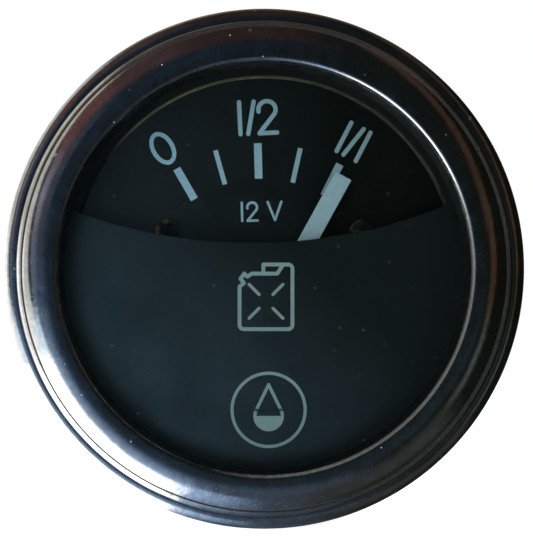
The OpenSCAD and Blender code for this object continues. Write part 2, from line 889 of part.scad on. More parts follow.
module front_bush() {
    color("darkgoldenrod") translate(pivot) difference() {
        union() {
            rod(bush_r, plate_back_z, plate_front_z + tiny);
            rod(bush_flange_r, plate_front_z, plate_front_z + bush_flange_t);
        }
        rod(spindle_r + run_clear, plate_back_z - tiny, plate_front_z + bush_flange_t + tiny);
    }
}

module rear_bush() {
    color("darkgoldenrod") translate(pivot) difference() {
        union() {
            rod(bush_r, rear_plate_back_z - tiny, rear_plate_front_z);
            rod(bush_flange_r, rear_plate_back_z - bush_flange_t, rear_plate_back_z);
        }
        rod(spindle_r + run_clear, rear_plate_back_z - bush_flange_t / 2, rear_plate_front_z + tiny);
    }
}

module pillars() {
    color("silver") place_at(pillar_spots) difference() {
        rod(pillar_r, rear_plate_front_z, plate_back_z);
        for (z = [rear_plate_front_z, plate_back_z]) rod(screw_r, z - pillar_screw_l, z + pillar_screw_l);
    }
}

module pillar_screws() {
    shank = pillar_screw_l - 0.3;
    color("silver") place_at(pillar_spots) {
        slotted_head(pillar_screw_head_r, plate_front_z, plate_front_z + pillar_screw_head_t);
        rod(screw_r, plate_back_z - shank, plate_front_z + tiny);
        translate([0, 0, rear_plate_back_z]) rotate([180, 0, 0])
            slotted_head(pillar_screw_head_r, 0, pillar_screw_head_t);
        rod(screw_r, rear_plate_back_z - tiny, rear_plate_front_z + shank);
    }
}

// A coil's own frame: its axis runs out from the spindle along +Y. The empty coil is on the left
module on_coil(side) {
    translate(pivot) rotate(-side * coil_deg) translate([0, 0, coil_z]) children();
}

// A round along a coil's axis, from y0 out to y1
module coil_rod(r, y0, y1) {
    rotate([-90, 0, 0]) rod(r, y0, y1);
}

module coil_core(side) {
    color("gray") on_coil(side) {
        difference() {
            translate([-shoe_w / 2, 0, -shoe_h / 2]) cube([shoe_w, bobbin_from - slip, shoe_h]);
            rod(pole_r, -shoe_h, shoe_h);
        }
        coil_rod(core_r, bobbin_from - slip - tiny, bobbin_to);
        coil_rod(tenon_r, bobbin_to - tiny, bobbin_to + yoke_t);
    }
}

module coil_bobbin(side) {
    color("burlywood") on_coil(side) difference() {
        union() {
            coil_rod(bobbin_r, bobbin_from, bobbin_from + bobbin_flange_t);
            coil_rod(winding_from_r, bobbin_from, bobbin_to);
            coil_rod(bobbin_r, bobbin_to - bobbin_flange_t, bobbin_to);
        }
        coil_rod(core_r + slip, bobbin_from - tiny, bobbin_to + tiny);
    }
}

module coil_winding(side) {
    color("chocolate") on_coil(side) difference() {
        coil_rod(winding_from_r + winding_t, bobbin_from + bobbin_flange_t, bobbin_to - bobbin_flange_t);
        coil_rod(winding_from_r, bobbin_from, bobbin_to);
    }
}

module yoke_plates() {
    color("gray") for (side = [-1, 1]) on_coil(side) difference() {
        translate([-yoke_w / 2, bobbin_to, -pillar_l / 2]) cube([yoke_w, yoke_t, pillar_l]);
        coil_rod(tenon_r, bobbin_to - tiny, bobbin_to + yoke_t + tiny);
    }
}

module resistor_card() {
    color("sienna") difference() {
        translate([-card_w / 2, card_y - card_h / 2, card_front_z - card_t]) cube([card_w, card_h, card_t]);
        both_sides(card_rivet_x, card_y)
            rod(card_rivet_r, card_front_z - card_t - tiny, card_front_z + tiny);
    }
}

module resistor_winding() {
    coil_w = card_w - 2 * card_bare_l;
    wrap = card_wrap_t;
    color("peru") difference() {
        translate([-coil_w / 2, card_y - card_h / 2 - wrap, card_front_z - card_t - wrap])
            cube([coil_w, card_h + 2 * wrap, card_t + 2 * wrap]);
        translate([-coil_w / 2 - tiny, card_y - card_h / 2, card_front_z - card_t])
            cube([coil_w + 2 * tiny, card_h, card_t]);
    }
}

module card_rivets() {
    color("goldenrod") both_sides(card_rivet_x, card_y) {
        rod(card_rivet_r, card_front_z - card_t - tiny, rear_plate_front_z);
        rod(card_collar_r, card_front_z, rear_plate_back_z);
        rod(card_head_r, card_front_z - card_t - card_head_t, card_front_z - card_t);
    }
}

function unit(v) = v / norm(v);

// A point on a curve that leaves a for b and comes to d from c
function curve_point(a, b, c, d, t) =
    pow(1 - t, 3) * a + 3 * pow(1 - t, 2) * t * b + 3 * (1 - t) * t * t * c + pow(t, 3) * d;

// A ring of points about a point of a wire that runs square to X, or nearly
function wire_ring(at, heading) =
    let (up = unit(cross(heading, [1, 0, 0])), across = cross(heading, up))
    [
        for (k = [0 : wire_sides - 1])
            let (a = k * 360 / wire_sides)
            at + wire_r * (cos(a) * up + sin(a) * across)
    ];

// A wire along its points, as one swept solid
module wire(points) {
    last = len(points) - 1;
    n = wire_sides;
    rings = [
        for (i = [0 : last])
            wire_ring(points[i], unit(points[min(i + 1, last)] - points[max(i - 1, 0)]))
    ];
    sides = [
        for (i = [0 : last - 1], k = [0 : n - 1])
            let (next = (k + 1) % n)
            [(i + 1) * n + k, (i + 1) * n + next, i * n + next, i * n + k]
    ];
    ends = [[for (k = [0 : n - 1]) k], [for (k = [n - 1 : -1 : 0]) last * n + k]];
    polyhedron([for (ring = rings, point = ring) point], concat(sides, ends));
}

// A point in the gauge's frame, from a coil's own frame
function from_coil(side, x, y, z) = [
    x * cos(coil_deg) + side * y * sin(coil_deg),
    -side * x * sin(coil_deg) + y * cos(coil_deg) - pivot_drop,
    coil_z + z
];

// A lead from a coil's outer flange, over the rear bearing plate, to its terminal's rivet
module coil_lead(side) {
    rivet_z = case_floor_z + washer_t + rivet_head_t;
    start = from_coil(side, -side * (bobbin_r + wire_r), bobbin_to - bobbin_flange_t / 2, 0);
    end = [side * terminal_x, terminal_y, rivet_z];
    color("firebrick") wire([
        for (i = [0 : wire_steps])
            curve_point(start, start + [0, 7, 0], end + [0, 0, 10], end, i / wire_steps)
    ]);
}

// Case and rear fittings

module cup_section(r, bottom_z, corner) {
    translate([0, bottom_z]) square([r - corner, far]);
    translate([0, bottom_z + corner]) square([r, far]);
    translate([r - corner, bottom_z + corner]) circle(r = corner);
}

module case() {
    color("darkgray") difference() {
        union() {
            rotate_extrude() difference() {
                intersection() {
                    union() {
                        cup_section(case_r, case_back_z, case_corner_r);
                        translate([0, flange_back_z]) square([flange_r, case_t]);
                    }
                    translate([0, case_back_z]) square([far, flange_front_z - case_back_z]);
                }
                cup_section(case_bore_r, case_floor_z, case_corner_r - case_t);
            }
            for (i = [0 : tongue_count - 1]) rotate(90 + i * 360 / tongue_count)
                translate([case_bore_r - tongue_l, -tongue_w / 2, dial_back_z - case_t])
                    cube([tongue_l + case_t / 2, tongue_w, case_t]);
        }
        both_sides(terminal_x, terminal_y) rod(bush_hole_r, case_back_z - tiny, case_floor_z + tiny);
        both_sides(stud_x) rod(stud_r + slip, case_back_z - tiny, case_floor_z + tiny);
        translate([0, earth_y, 0]) rod(rivet_r, case_back_z - tiny, case_floor_z + tiny);
        translate([0, -lamp_drop, 0]) rod(lamp_hole_r, case_back_z - tiny, case_floor_z + tiny);
    }
}

module terminal_bushes() {
    color("saddlebrown") both_sides(terminal_x, terminal_y) difference() {
        union() {
            rod(insulator_r, terminal_base_z, case_back_z);
            rod(bush_hole_r - slip, case_back_z - tiny, case_floor_z);
        }
        rod(rivet_r, terminal_base_z - tiny, case_floor_z + tiny);
    }
}

module terminal_washers() {
    color("saddlebrown") both_sides(terminal_x, terminal_y)
        tube(insulator_r, rivet_r, case_floor_z, case_floor_z + washer_t);
}

// A flat blade on a bent foot, its foot's front face at z
module blade(z) {
    bend_y = blade_foot_l - blade_foot_low;
    tip_z = -blade_t - blade_l;
    difference() {
        union() {
            translate([-blade_w / 2, -blade_foot_low, z - blade_t]) cube([blade_w, blade_foot_l, blade_t]);
            translate([-blade_w / 2, bend_y, z]) rotate([90, 0, 0]) linear_extrude(height = blade_t) polygon([
                [0, 0],
                [0, tip_z + blade_tip_cut],
                [blade_tip_cut, tip_z],
                [blade_w - blade_tip_cut, tip_z],
                [blade_w, tip_z + blade_tip_cut],
                [blade_w, 0]
            ]);
        }
        rod(rivet_r, z - blade_t - tiny, z + tiny);
        translate([0, 0, z - blade_t - blade_hole_at]) rotate([-90, 0, 0])
            cylinder(r = blade_hole_r, h = far);
    }
}

module supply_blade() {
    color("khaki") translate([-terminal_x, terminal_y, 0]) blade(terminal_base_z);
}

module sender_blade() {
    color("khaki") translate([terminal_x, terminal_y, 0]) blade(terminal_base_z);
}

// A rivet with a round head at each end
module rivet(back_z, front_z) {
    rod(rivet_r, back_z - tiny, front_z + tiny);
    rod(rivet_head_r, front_z, front_z + rivet_head_t);
    rod(rivet_head_r, back_z - rivet_head_t, back_z);
}

module terminal_rivets() {
    color("goldenrod") both_sides(terminal_x, terminal_y)
        rivet(terminal_base_z - blade_t, case_floor_z + washer_t);
}

module earth_blade() {
    color("khaki") translate([0, earth_y, 0]) blade(case_back_z);
}

module earth_rivet() {
    color("goldenrod") translate([0, earth_y, 0]) rivet(case_back_z - blade_t, case_floor_z);
}

module clamp_studs() {
    color("silver") both_sides(stud_x) {
        rod(stud_r, case_back_z - stud_reach, case_floor_z + tiny);
        translate([0, 0, case_floor_z]) cylinder(r = hex_r, h = stud_head_t, $fn = 6);
    }
}

module stud_locknuts() {
    color("silver") both_sides(stud_x) difference() {
        translate([0, 0, case_back_z - locknut_t]) cylinder(r = hex_r, h = locknut_t, $fn = 6);
        rod(stud_r, case_back_z - locknut_t - tiny, case_back_z + tiny);
    }
}

// A strip bent into a U, seen along its width
module bridge_profile() {
    corner_x = leg_outer_x - bend_r;
    corner_z = web_back_z + bend_r;
    difference() {
        union() {
            translate([-corner_x, web_back_z]) square([2 * corner_x, bend_r + bridge_t]);
            translate([-leg_outer_x, corner_z]) square([2 * leg_outer_x, -foot_gap - corner_z]);
            both_sides(corner_x, corner_z) circle(r = bend_r);
        }
        translate([-corner_x, web_front_z]) square([2 * corner_x, far]);
        translate([-leg_inner_x, corner_z]) square([2 * leg_inner_x, far]);
        both_sides(corner_x, corner_z) circle(r = bend_r - bridge_t);
    }
}

module clamp_bridge() {
    color("lightgray") difference() {
        rotate([90, 0, 0]) translate([0, 0, -bridge_w / 2])
            linear_extrude(height = bridge_w) bridge_profile();
        both_sides(stud_x) rod(stud_hole_r, web_back_z - tiny, web_front_z + tiny);
    }
}

module spring_washers() {
    split_w = 0.6;
    color("gray") both_sides(stud_x) difference() {
        tube(knob_neck_r, stud_hole_r, knob_front_z, web_back_z);
        translate([0, -split_w / 2, knob_front_z - tiny]) cube([far, split_w, spring_washer_t + 2 * tiny]);
    }
}

module clamp_nut() {
    knob_r = knob_d / 2;
    back_z = knob_front_z - knob_h;
    color("goldenrod") difference() {
        union() {
            rod(knob_neck_r, knob_front_z - knob_neck_h - tiny, knob_front_z);
            rod(knob_r, back_z, knob_front_z - knob_neck_h);
        }
        rod(stud_r + slip, back_z - tiny, knob_front_z + tiny);
        for (i = [0 : knurl_count - 1])
            rotate(i * 360 / knurl_count) translate([knob_r + knurl_r * 0.4, 0, 0])
                rod(knurl_r, back_z - tiny, knob_front_z - knob_neck_h + tiny);
    }
}

module left_clamp_nut() {
    translate([-stud_x, 0, 0]) clamp_nut();
}

module right_clamp_nut() {
    translate([stud_x, 0, 0]) clamp_nut();
}

// Lamp holder, which pulls out of the back

module at_lamp() {
    translate([0, -lamp_drop, 0]) children();
}

module lamp_holder_shell() {
    color("silver") at_lamp() difference() {
        union() {
            rod(holder_r, holder_back_z, holder_front_z);
            rod(holder_flange_r, holder_back_z, holder_back_z + holder_flange_t);
            rod(holder_r, holder_back_z - insulator_disc_t, holder_back_z + tiny);
        }
        rod(holder_bore_r, holder_back_z - insulator_disc_t - tiny, holder_front_z + tiny);
        for (a = [45, 135]) rotate(a)
            translate([-far / 2, -holder_slit_w / 2, holder_front_z - holder_slit_l])
                cube([far, holder_slit_w, holder_slit_l + tiny]);
    }
}

module lamp_holder_insulator() {
    color("saddlebrown") at_lamp()
        tube(holder_bore_r, contact_stem_r, holder_back_z - insulator_disc_t, holder_back_z);
}

module lamp_contact() {
    back_z = holder_back_z - insulator_disc_t;
    color("khaki") at_lamp() {
        rod(contact_r, holder_back_z, holder_back_z + contact_t);
        rod(contact_stem_r, back_z - tiny, holder_back_z + tiny);
        translate([-blade_w / 2, -blade_t / 2, back_z - blade_l]) cube([blade_w, blade_t, blade_l]);
    }
}

module bulb_base() {
    pin_z = bulb_base_back_z + bulb_pin_at;
    color("goldenrod") at_lamp() difference() {
        union() {
            rod(bulb_r, bulb_base_back_z, bulb_base_front_z);
            rod(bulb_tip_r, bulb_tip_z, bulb_base_back_z + tiny);
            translate([0, 0, pin_z]) rotate([0, 90, 0])
                rod(bulb_pin_r, -holder_bore_r + slip, holder_bore_r - slip);
        }
        rod(bulb_r - bulb_wall, bulb_base_front_z - bulb_socket_l, bulb_base_front_z + tiny);
    }
}

module bulb_envelope(r, top) {
    rotate_extrude() intersection() {
        union() {
            square([r, top - r]);
            translate([0, top - r]) circle(r = r);
        }
        square([r, top]);
    }
}

module bulb_glass() {
    outer_r = bulb_r - bulb_wall - slip;
    foot_t = 2;
    color("white", 0.4) at_lamp() translate([0, 0, bulb_base_front_z - bulb_socket_l]) difference() {
        bulb_envelope(outer_r, bulb_glass_l + bulb_socket_l);
        translate([0, 0, foot_t])
            bulb_envelope(outer_r - bulb_wall, bulb_glass_l + bulb_socket_l - foot_t - bulb_wall);
    }
}

module bulb_filament() {
    foot_z = bulb_base_front_z - 1;
    coil_at = bulb_base_front_z + bulb_glass_l * 0.45;
    post_x = 1.5;
    color("gray") at_lamp() {
        both_sides(post_x) rod(0.2, foot_z, coil_at);
        translate([0, 0, coil_at]) rotate([0, 90, 0]) rod(0.25, -post_x - 0.2, post_x + 0.2);
    }
}

upright() bezel();
upright() glass();
upright() glass_seal();
upright() glass_ring();
upright() dial_ring();
upright() mask();
upright() mask_print();
upright() dial_plate();
upright() dial_print();
upright() dial_screws();
upright() dial_posts();
upright() pointer();
upright() pointer_hub();
upright() counterweight();
upright() spindle();
upright() armature();
upright() stop_arm();
upright() stop_pins();
upright() front_bearing_plate();
upright() rear_bearing_plate();
upright() front_bush();
upright() rear_bush();
upright() pillars();
upright() pillar_screws();
upright() coil_core(-1);  // empty_coil_core
upright() coil_core(1);  // full_coil_core
upright() coil_bobbin(-1);  // empty_coil_bobbin
upright() coil_bobbin(1);  // full_coil_bobbin
upright() coil_winding(-1);  // empty_coil_winding
upright() coil_winding(1);  // full_coil_winding
upright() yoke_plates();
upright() resistor_card();
upright() resistor_winding();
upright() card_rivets();
upright() coil_lead(-1);  // supply_lead
upright() coil_lead(1);  // sender_lead
upright() case();
upright() terminal_bushes();
upright() terminal_washers();
upright() supply_blade();
upright() sender_blade();
upright() terminal_rivets();
upright() earth_blade();
upright() earth_rivet();
upright() clamp_studs();
upright() stud_locknuts();
upright() clamp_bridge();
upright() spring_washers();
upright() left_clamp_nut();
upright() right_clamp_nut();
upright() lamp_holder_shell();
upright() lamp_holder_insulator();
upright() lamp_contact();
upright() bulb_base();
upright() bulb_glass();
upright() bulb_filament();
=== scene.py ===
# %% [markdown]
# # A dashboard fuel gauge
# The gauge's solids come from its CAD model, in metres, with the bezel facing -Y and the dial's
# top at +Z. This file dresses them: it gives every surface its finish, models again the pieces
# whose curves a camera sees up close, and lights them like the photograph.

# %% Load the solids
import math

import bmesh
import bpy
from mathutils import Matrix, Vector


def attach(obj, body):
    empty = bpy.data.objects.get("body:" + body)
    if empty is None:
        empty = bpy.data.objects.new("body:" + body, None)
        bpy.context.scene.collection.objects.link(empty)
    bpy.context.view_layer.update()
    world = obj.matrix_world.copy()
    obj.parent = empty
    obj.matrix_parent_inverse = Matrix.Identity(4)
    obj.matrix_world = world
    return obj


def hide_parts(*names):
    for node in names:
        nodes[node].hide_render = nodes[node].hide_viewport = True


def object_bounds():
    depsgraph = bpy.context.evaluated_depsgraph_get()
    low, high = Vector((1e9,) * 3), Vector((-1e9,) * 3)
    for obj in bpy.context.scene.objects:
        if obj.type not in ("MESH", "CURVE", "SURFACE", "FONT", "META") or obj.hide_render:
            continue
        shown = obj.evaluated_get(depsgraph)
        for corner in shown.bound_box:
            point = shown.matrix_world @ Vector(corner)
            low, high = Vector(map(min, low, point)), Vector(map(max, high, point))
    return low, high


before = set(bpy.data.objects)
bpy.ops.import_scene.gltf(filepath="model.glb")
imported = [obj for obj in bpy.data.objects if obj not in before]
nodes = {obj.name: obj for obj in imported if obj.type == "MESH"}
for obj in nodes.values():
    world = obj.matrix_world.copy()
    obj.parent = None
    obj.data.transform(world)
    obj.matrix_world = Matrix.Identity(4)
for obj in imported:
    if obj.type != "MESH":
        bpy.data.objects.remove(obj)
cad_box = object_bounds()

MM = 0.001
scene = bpy.context.scene

# %% [markdown]
# ## Camera
# The photograph looks almost straight at the dial, from a little left of it and a little below.
# The nearer a camera stands, the more it shows of the wall inside the window. The lens follows
# from the distance used and from how large the rim appears.
# The gauge isn't in the middle of the picture. A small shift of the lens moves it there without
# turning the camera, which would tilt the rim.

# %% Camera
PICTURE_W = 533
PICTURE_H = 541
CAMERA_TURN = math.radians(-1.5)
CAMERA_RISE = math.radians(-1)
CAMERA_AWAY = 350 * MM
SENSOR_W = 36
RIM_R = 30 * MM
RIM_AT = Vector((0, -0.8 * MM, 0))
# Where the rim's middle and edge lie in the picture, in pixels
RIM_SEEN_X = 264.7
RIM_SEEN_Y = 268.4
RIM_SEEN_R = 260.2

back = Vector((
    math.sin(CAMERA_TURN) * math.cos(CAMERA_RISE),
    -math.cos(CAMERA_TURN) * math.cos(CAMERA_RISE),
    math.sin(CAMERA_RISE),
))
lens = bpy.data.cameras.new("camera")
lens.sensor_width = SENSOR_W
lens.lens = SENSOR_W * RIM_SEEN_R / PICTURE_H * CAMERA_AWAY / RIM_R
lens.shift_x = (PICTURE_W / 2 - RIM_SEEN_X) / PICTURE_H
lens.shift_y = (RIM_SEEN_Y - PICTURE_H / 2) / PICTURE_H
camera = bpy.data.objects.new("camera", lens)
camera.location = RIM_AT + CAMERA_AWAY * back
camera.rotation_euler = back.to_track_quat("Z", "Y").to_euler()
scene.collection.objects.link(camera)
scene.camera = camera
scene.view_settings.view_transform = "Standard"
print("lens", round(lens.lens), "mm, shift", round(lens.shift_x, 4), round(lens.shift_y, 4))

# %% [markdown]
# ## Small tools for materials
# A node tree is easier to read when one line makes one node. `add` makes it, sets it and joins
# its inputs, and `join` sets inputs on a node that is there already. Most nodes are wanted for
# their first output, so a node given as an input's value stands for that. `product` multiplies
# amounts, because a mark often shows only where several limits meet.
# Colours are written as people know them, in sRGB, while a shader works in linear light, so
# `srgb` turns one into the other.

# %% Tools for nodes and colours
def join(tree, node, inputs):
    """Sets or links a node's inputs, which are named or numbered."""
    for name, value in inputs.items():
        if isinstance(value, bpy.types.Node):
            value = value.outputs[0]
        if isinstance(value, bpy.types.NodeSocket):
            tree.links.new(value, node.inputs[name])
        else:
            node.inputs[name].default_value = value


def add(tree, kind, inputs=None, **settings):
    """Adds a shader node with its settings and links."""
    node = tree.nodes.new("ShaderNode" + kind)
    for name, value in settings.items():
        setattr(node, name, value)
    join(tree, node, inputs or {})
    return node


def product(tree, amount, *others):
    """Amounts multiplied together, each a node, a socket or a number."""
    for other in others:
        amount = add(tree, "Math", {0: amount, 1: other}, operation="MULTIPLY")
    return amount


def srgb(code, strength=1.0):
    """A colour written as #rrggbb, as the linear values that a shader takes."""
    parts = [int(code[i:i + 2], 16) / 255 for i in (1, 3, 5)]
    linear = [c / 12.92 if c <= 0.04045 else ((c + 0.055) / 1.055) ** 2.4 for c in parts]
    return [strength * c for c in linear] + [1.0]


print("mid grey in linear light:", [round(c, 3) for c in srgb("#808080")])

# %% [markdown]
# ## The room that the chrome mirrors
# Polished metal has hardly any colour of its own: it shows the room. The photograph was taken in
# a dim room with one window low on the left, some brown furniture above and a pale wall behind.
# Lamps could stand in for each of them, but a lamp's reflection is a hard shape. The world's
# own colour, chosen by direction, gives the same soft patches and costs nothing to render.
# The camera and glass see plain white, and matt surfaces get one plain even light.

# %% The room's directions
# The half width, in degrees, of a patch that goes all the way round
ALL_ROUND = 180

world = bpy.data.worlds.new("studio")
scene.world = world
world.use_nodes = True
# The sky is one even tone to matt surfaces, so looking for its bright spots would gain nothing
world.cycles.sampling_method = "NONE"
room = world.node_tree
room.nodes.clear()
heading = add(room, "SeparateXYZ", {0: add(room, "TexCoord").outputs["Generated"]}).outputs
forwards = product(room, heading["Y"], -1)
# The angle off the gauge's axis, from its front, and the angle round that axis, from the right
off_axis = add(room, "Math", {0: forwards}, operation="ARCCOSINE")
around = add(room, "Math", {0: heading["Z"], 1: heading["X"]}, operation="ARCTAN2")


def patch(middle, half_width, near, far, soft_side, soft_near, soft_far, slant=0.0):
    """How far a direction lies inside a patch of the room, from 0 to 1.

    Angles are in degrees. A slanted patch moves off the axis by slant for each degree around.
    """
    turn = add(room, "Math", {0: around, 1: math.radians(middle)}, operation="SUBTRACT")
    turn = add(room, "Math", {0: turn, 1: math.pi, 2: -math.pi}, operation="WRAP")
    off = add(room, "Math", {0: turn, 1: -slant, 2: off_axis}, operation="MULTIPLY_ADD")
    inner = add(room, "MapRange", {
        0: off, 1: math.radians(near - soft_near), 2: math.radians(near),
    }, interpolation_type="SMOOTHSTEP")
    outer = add(room, "MapRange", {
        0: off, 1: math.radians(far), 2: math.radians(far + soft_far), 3: 1, 4: 0,
    }, interpolation_type="SMOOTHSTEP")
    if half_width == ALL_ROUND:
        return product(room, inner, outer)
    away = add(room, "Math", {0: turn}, operation="ABSOLUTE")
    sides = add(room, "MapRange", {
        0: away, 1: math.radians(half_width), 2: math.radians(half_width + soft_side), 3: 1, 4: 0,
    }, interpolation_type="SMOOTHSTEP")
    return product(room, inner, outer, sides)


# %% [markdown]
# Each patch is painted over the ones before it, from the dim room to the bright window and the
# background. The degrees come from the shapes on the bezel: its band is a round section, so a
# streak's radius there says how far off the axis the thing it mirrors must be. A colour is
# written as it shows on the bezel, and divided by the share of the light that the chrome gives
# back. The middle of the window is brighter than white, so that it glares on dull metal too.

# %% Paint the room
CHROME_SHARE = 0.5
WINDOW_GLARE = 3.0
PLAIN_LIGHT = 0.72
# A colour, its brightness, and where it lies, in the order that patch takes
ROOM_PATCHES = [
    # the dim far end of the room, behind the camera, and its glow about the window
    ("#171f27", 1, 185, 80, 0, 46, 50, 1, 30),
    ("#1b2325", 1, 316, 30, 0, 14, 22, 1, 14),
    ("#39485a", 1, 226, 30, 34, 130, 46, 40, 20),
    ("#8297ab", 1, 226, 16, 50, 130, 28, 40, 20),
    ("#343a42", 1, 158, 16, 32, 50, 14, 12, 10),
    ("#4a5664", 1, 182, 7, 50, 62, 12, 14, 8),
    # a grey floor at the lower right, darker under the gauge
    ("#363f4a", 1, 277, 11, 36, 180, 18, 34, 1),
    ("#2d2f2c", 1, 312, 20, 56, 84, 26, 36, 14),
    ("#1c1e1b", 1, 318, 20, 94, 180, 24, 20, 1),
    # a brown rail that runs across the right of the room, the dark beneath it and a pale glint
    ("#0e120f", 1, 342, 12, 58, 180, 12, 10, 1),
    ("#0d0e0a", 1, 24, 32, 68, 180, 12, 10, 1, 0.85),
    ("#34251d", 1, 38, 22, 64, 75, 8, 12, 12, 1.2),
    ("#38291f", 1, 4, 10, 40, 50, 10, 9, 8, 0.35),
    ("#3d4240", 1, 338, 6, 39, 44, 10, 6, 8),
    # brown things above, redder towards the left
    ("#291f1d", 1, 100, 10, 56, 108, 24, 22, 14),
    ("#3a2d2c", 1, 122, 5, 54, 112, 16, 22, 12),
    ("#563b38", 1, 141, 4, 60, 84, 13, 20, 10),
    ("#706973", 1, 161, 4, 60, 70, 14, 18, 10),
    # the top of the room, olive in lamplight
    ("#3b352a", 1, 94, 22, 116, 180, 36, 18, 1),
    ("#6b6558", 1, 116, 8, 126, 180, 22, 20, 1),
    # a cream wall at the left, below a dark beam
    ("#1f1f28", 1, 172, 18, 69, 75, 12, 7, 6, -0.45),
    ("#aeafa4", 1, 166, 32, 84, 180, 14, 10, 1, -0.4),
    ("#ebe8de", 1, 203, 8, 78, 110, 12, 14, 10),
    ("#e2e3dc", 1, 166, 28, 134, 180, 12, 20, 1),
    ("#f8f8f5", 1, 202, 26, 100, 180, 12, 12, 1),
    # the window, with the sky's blue spread along both its sides
    ("#8ea8c8", 1, 248, 3, 54, 62, 22, 12, 66),
    ("#cfe4f0", 1, 206, 8, 58, 74, 14, 14, 12),
    ("#ffffff", 1, 226, 19, 54, 180, 8, 10, 1, 0.12),
    ("#ffffff", WINDOW_GLARE, 226, 15, 60, 180, 11, 8, 1, 0.12),
    # the white background behind the gauge, and the shade low on it
    ("#e6e8e8", 1, 0, ALL_ROUND, 166, 180, 0, 10, 1),
    ("#2d3a41", 1, 278, 14, 166, 180, 24, 10, 1),
]
seen = srgb("#101412", 1 / CHROME_SHARE)
for code, bright, *place in ROOM_PATCHES:
    tone = srgb(code, bright / CHROME_SHARE)
    seen = add(room, "Mix", {0: patch(*place), 6: seen, 7: tone}, data_type="RGBA").outputs[2]
ray = add(room, "LightPath").outputs
plain = add(room, "Background", {0: srgb("#ffffff"), 1: PLAIN_LIGHT})
mirrored = add(room, "Background", {0: seen, 1: 1})
white = add(room, "Background", {0: srgb("#ffffff"), 1: 1})
lit = add(room, "MixShader", {0: ray["Is Glossy Ray"], 1: plain, 2: mirrored})
through = add(room, "Math", {
    0: ray["Is Camera Ray"], 1: ray["Is Transmission Ray"],
}, operation="MAXIMUM")
sky = add(room, "MixShader", {0: through, 1: lit, 2: white})
add(room, "OutputWorld", {"Surface": sky})
print(len(ROOM_PATCHES), "patches, drawn with", len(room.nodes), "nodes")

# %% [markdown]
# ## Soft lamps
# An even sky alone leaves the back of the gauge shapeless. Three broad lamps give it a lit side
# and a shaded side. Metal doesn't mirror them, because the room above already says what it shows.

# %% Lamps
def soft_lamp(name, place, size, power):
    """A square lamp that faces the gauge."""
    lamp = bpy.data.lights.new(name, "AREA")
    lamp.size = size
    lamp.energy = power
    stand = bpy.data.objects.new(name, lamp)
    stand.location = place
    stand.rotation_euler = Vector(place).to_track_quat("Z", "Y").to_euler()
    stand.visible_glossy = False
    scene.collection.objects.link(stand)
    return stand


# A lamp's place and size are in metres, and its power in watts
lamps = [
    soft_lamp("window_light", (-0.42, -0.5, -0.02), 0.4, 0.55),
    soft_lamp("top_light", (0.1, -0.15, 0.6), 0.5, 0.5),
    soft_lamp("rear_light", (0.35, 0.55, 0.3), 0.5, 0.6),
]
print([lamp.name for lamp in lamps])

# %% [markdown]
# ## Floor
# The gauge stands on its rim on a plain pale floor. The floor is matt, and a little light of its
# own, for the camera only, lifts it to the white of the background while its shadow stays.

# %% Floor
FLOOR_R = 900 * MM
FLOOR_LIFT = 0.7
floor_z = cad_box[0][2]
bm = bmesh.new()
bmesh.ops.create_circle(bm, cap_ends=True, radius=FLOOR_R, segments=96)
bmesh.ops.translate(bm, verts=bm.verts, vec=(0, 0, floor_z))
mesh = bpy.data.meshes.new("floor")
bm.to_mesh(mesh)
bm.free()
floor = bpy.data.objects.new("floor", mesh)
scene.collection.objects.link(floor)
paper = bpy.data.materials.new("matt_white_paper")
paper.use_nodes = True
tree = paper.node_tree
tree.nodes.clear()
matt = add(tree, "BsdfDiffuse", {"Color": srgb("#f4f4f2")})
lift = product(tree, add(tree, "LightPath").outputs["Is Camera Ray"], FLOOR_LIFT)
glow = add(tree, "Emission", {"Color": srgb("#ffffff"), "Strength": lift})
both = add(tree, "AddShader", {0: matt, 1: glow})
add(tree, "OutputMaterial", {"Surface": both})
mesh.materials.append(paper)
floor.visible_glossy = False
print("floor at", round(floor_z / MM, 2), "mm")

# %% [markdown]
# ## Patterns that the finishes share
# Real finishes vary from place to place: metal tarnishes in clouds, dust lies in specks, and
# handling leaves fine scratches. Short functions draw those from a real size in metres, `coats`
# lays them over a clean colour, and `relief` raises or sinks the surface with them.
# They read Object coordinates, which here are the gauge's own, so a pattern stays on its piece,
# and wear that follows the round parts is placed by its distance from the gauge's axis.

# %% Patterns
# Most of a noise lies between these values, and what lies beyond is cut off
NOISE_LOW, NOISE_HIGH = 0.36, 0.64
# The part of a speck's radius within which it is full
SPECK_CORE = 0.6
# Scratches run along a direction that no edge of the gauge follows
SCRATCH_TILT = (0.5, 0.9, 0.4)


def start_finish(name):
    """A new material: its node tree, its shader and the place on the surface."""
    material = bpy.data.materials.new(name)
    material.use_nodes = True
    tree = material.node_tree
    tree.nodes.clear()
    surface = add(tree, "BsdfPrincipled")
    add(tree, "OutputMaterial", {"Surface": surface})
    return material, tree, surface, add(tree, "TexCoord").outputs["Object"]


def cloud(tree, where, size, low, high, detail=3.0):
    """Soft patches about size apart, running from low to high."""
    noise = add(tree, "TexNoise", {"Vector": where, "Scale": 1 / size, "Detail": detail})
    return add(tree, "MapRange", {0: noise, 1: NOISE_LOW, 2: NOISE_HIGH, 3: low, 4: high})


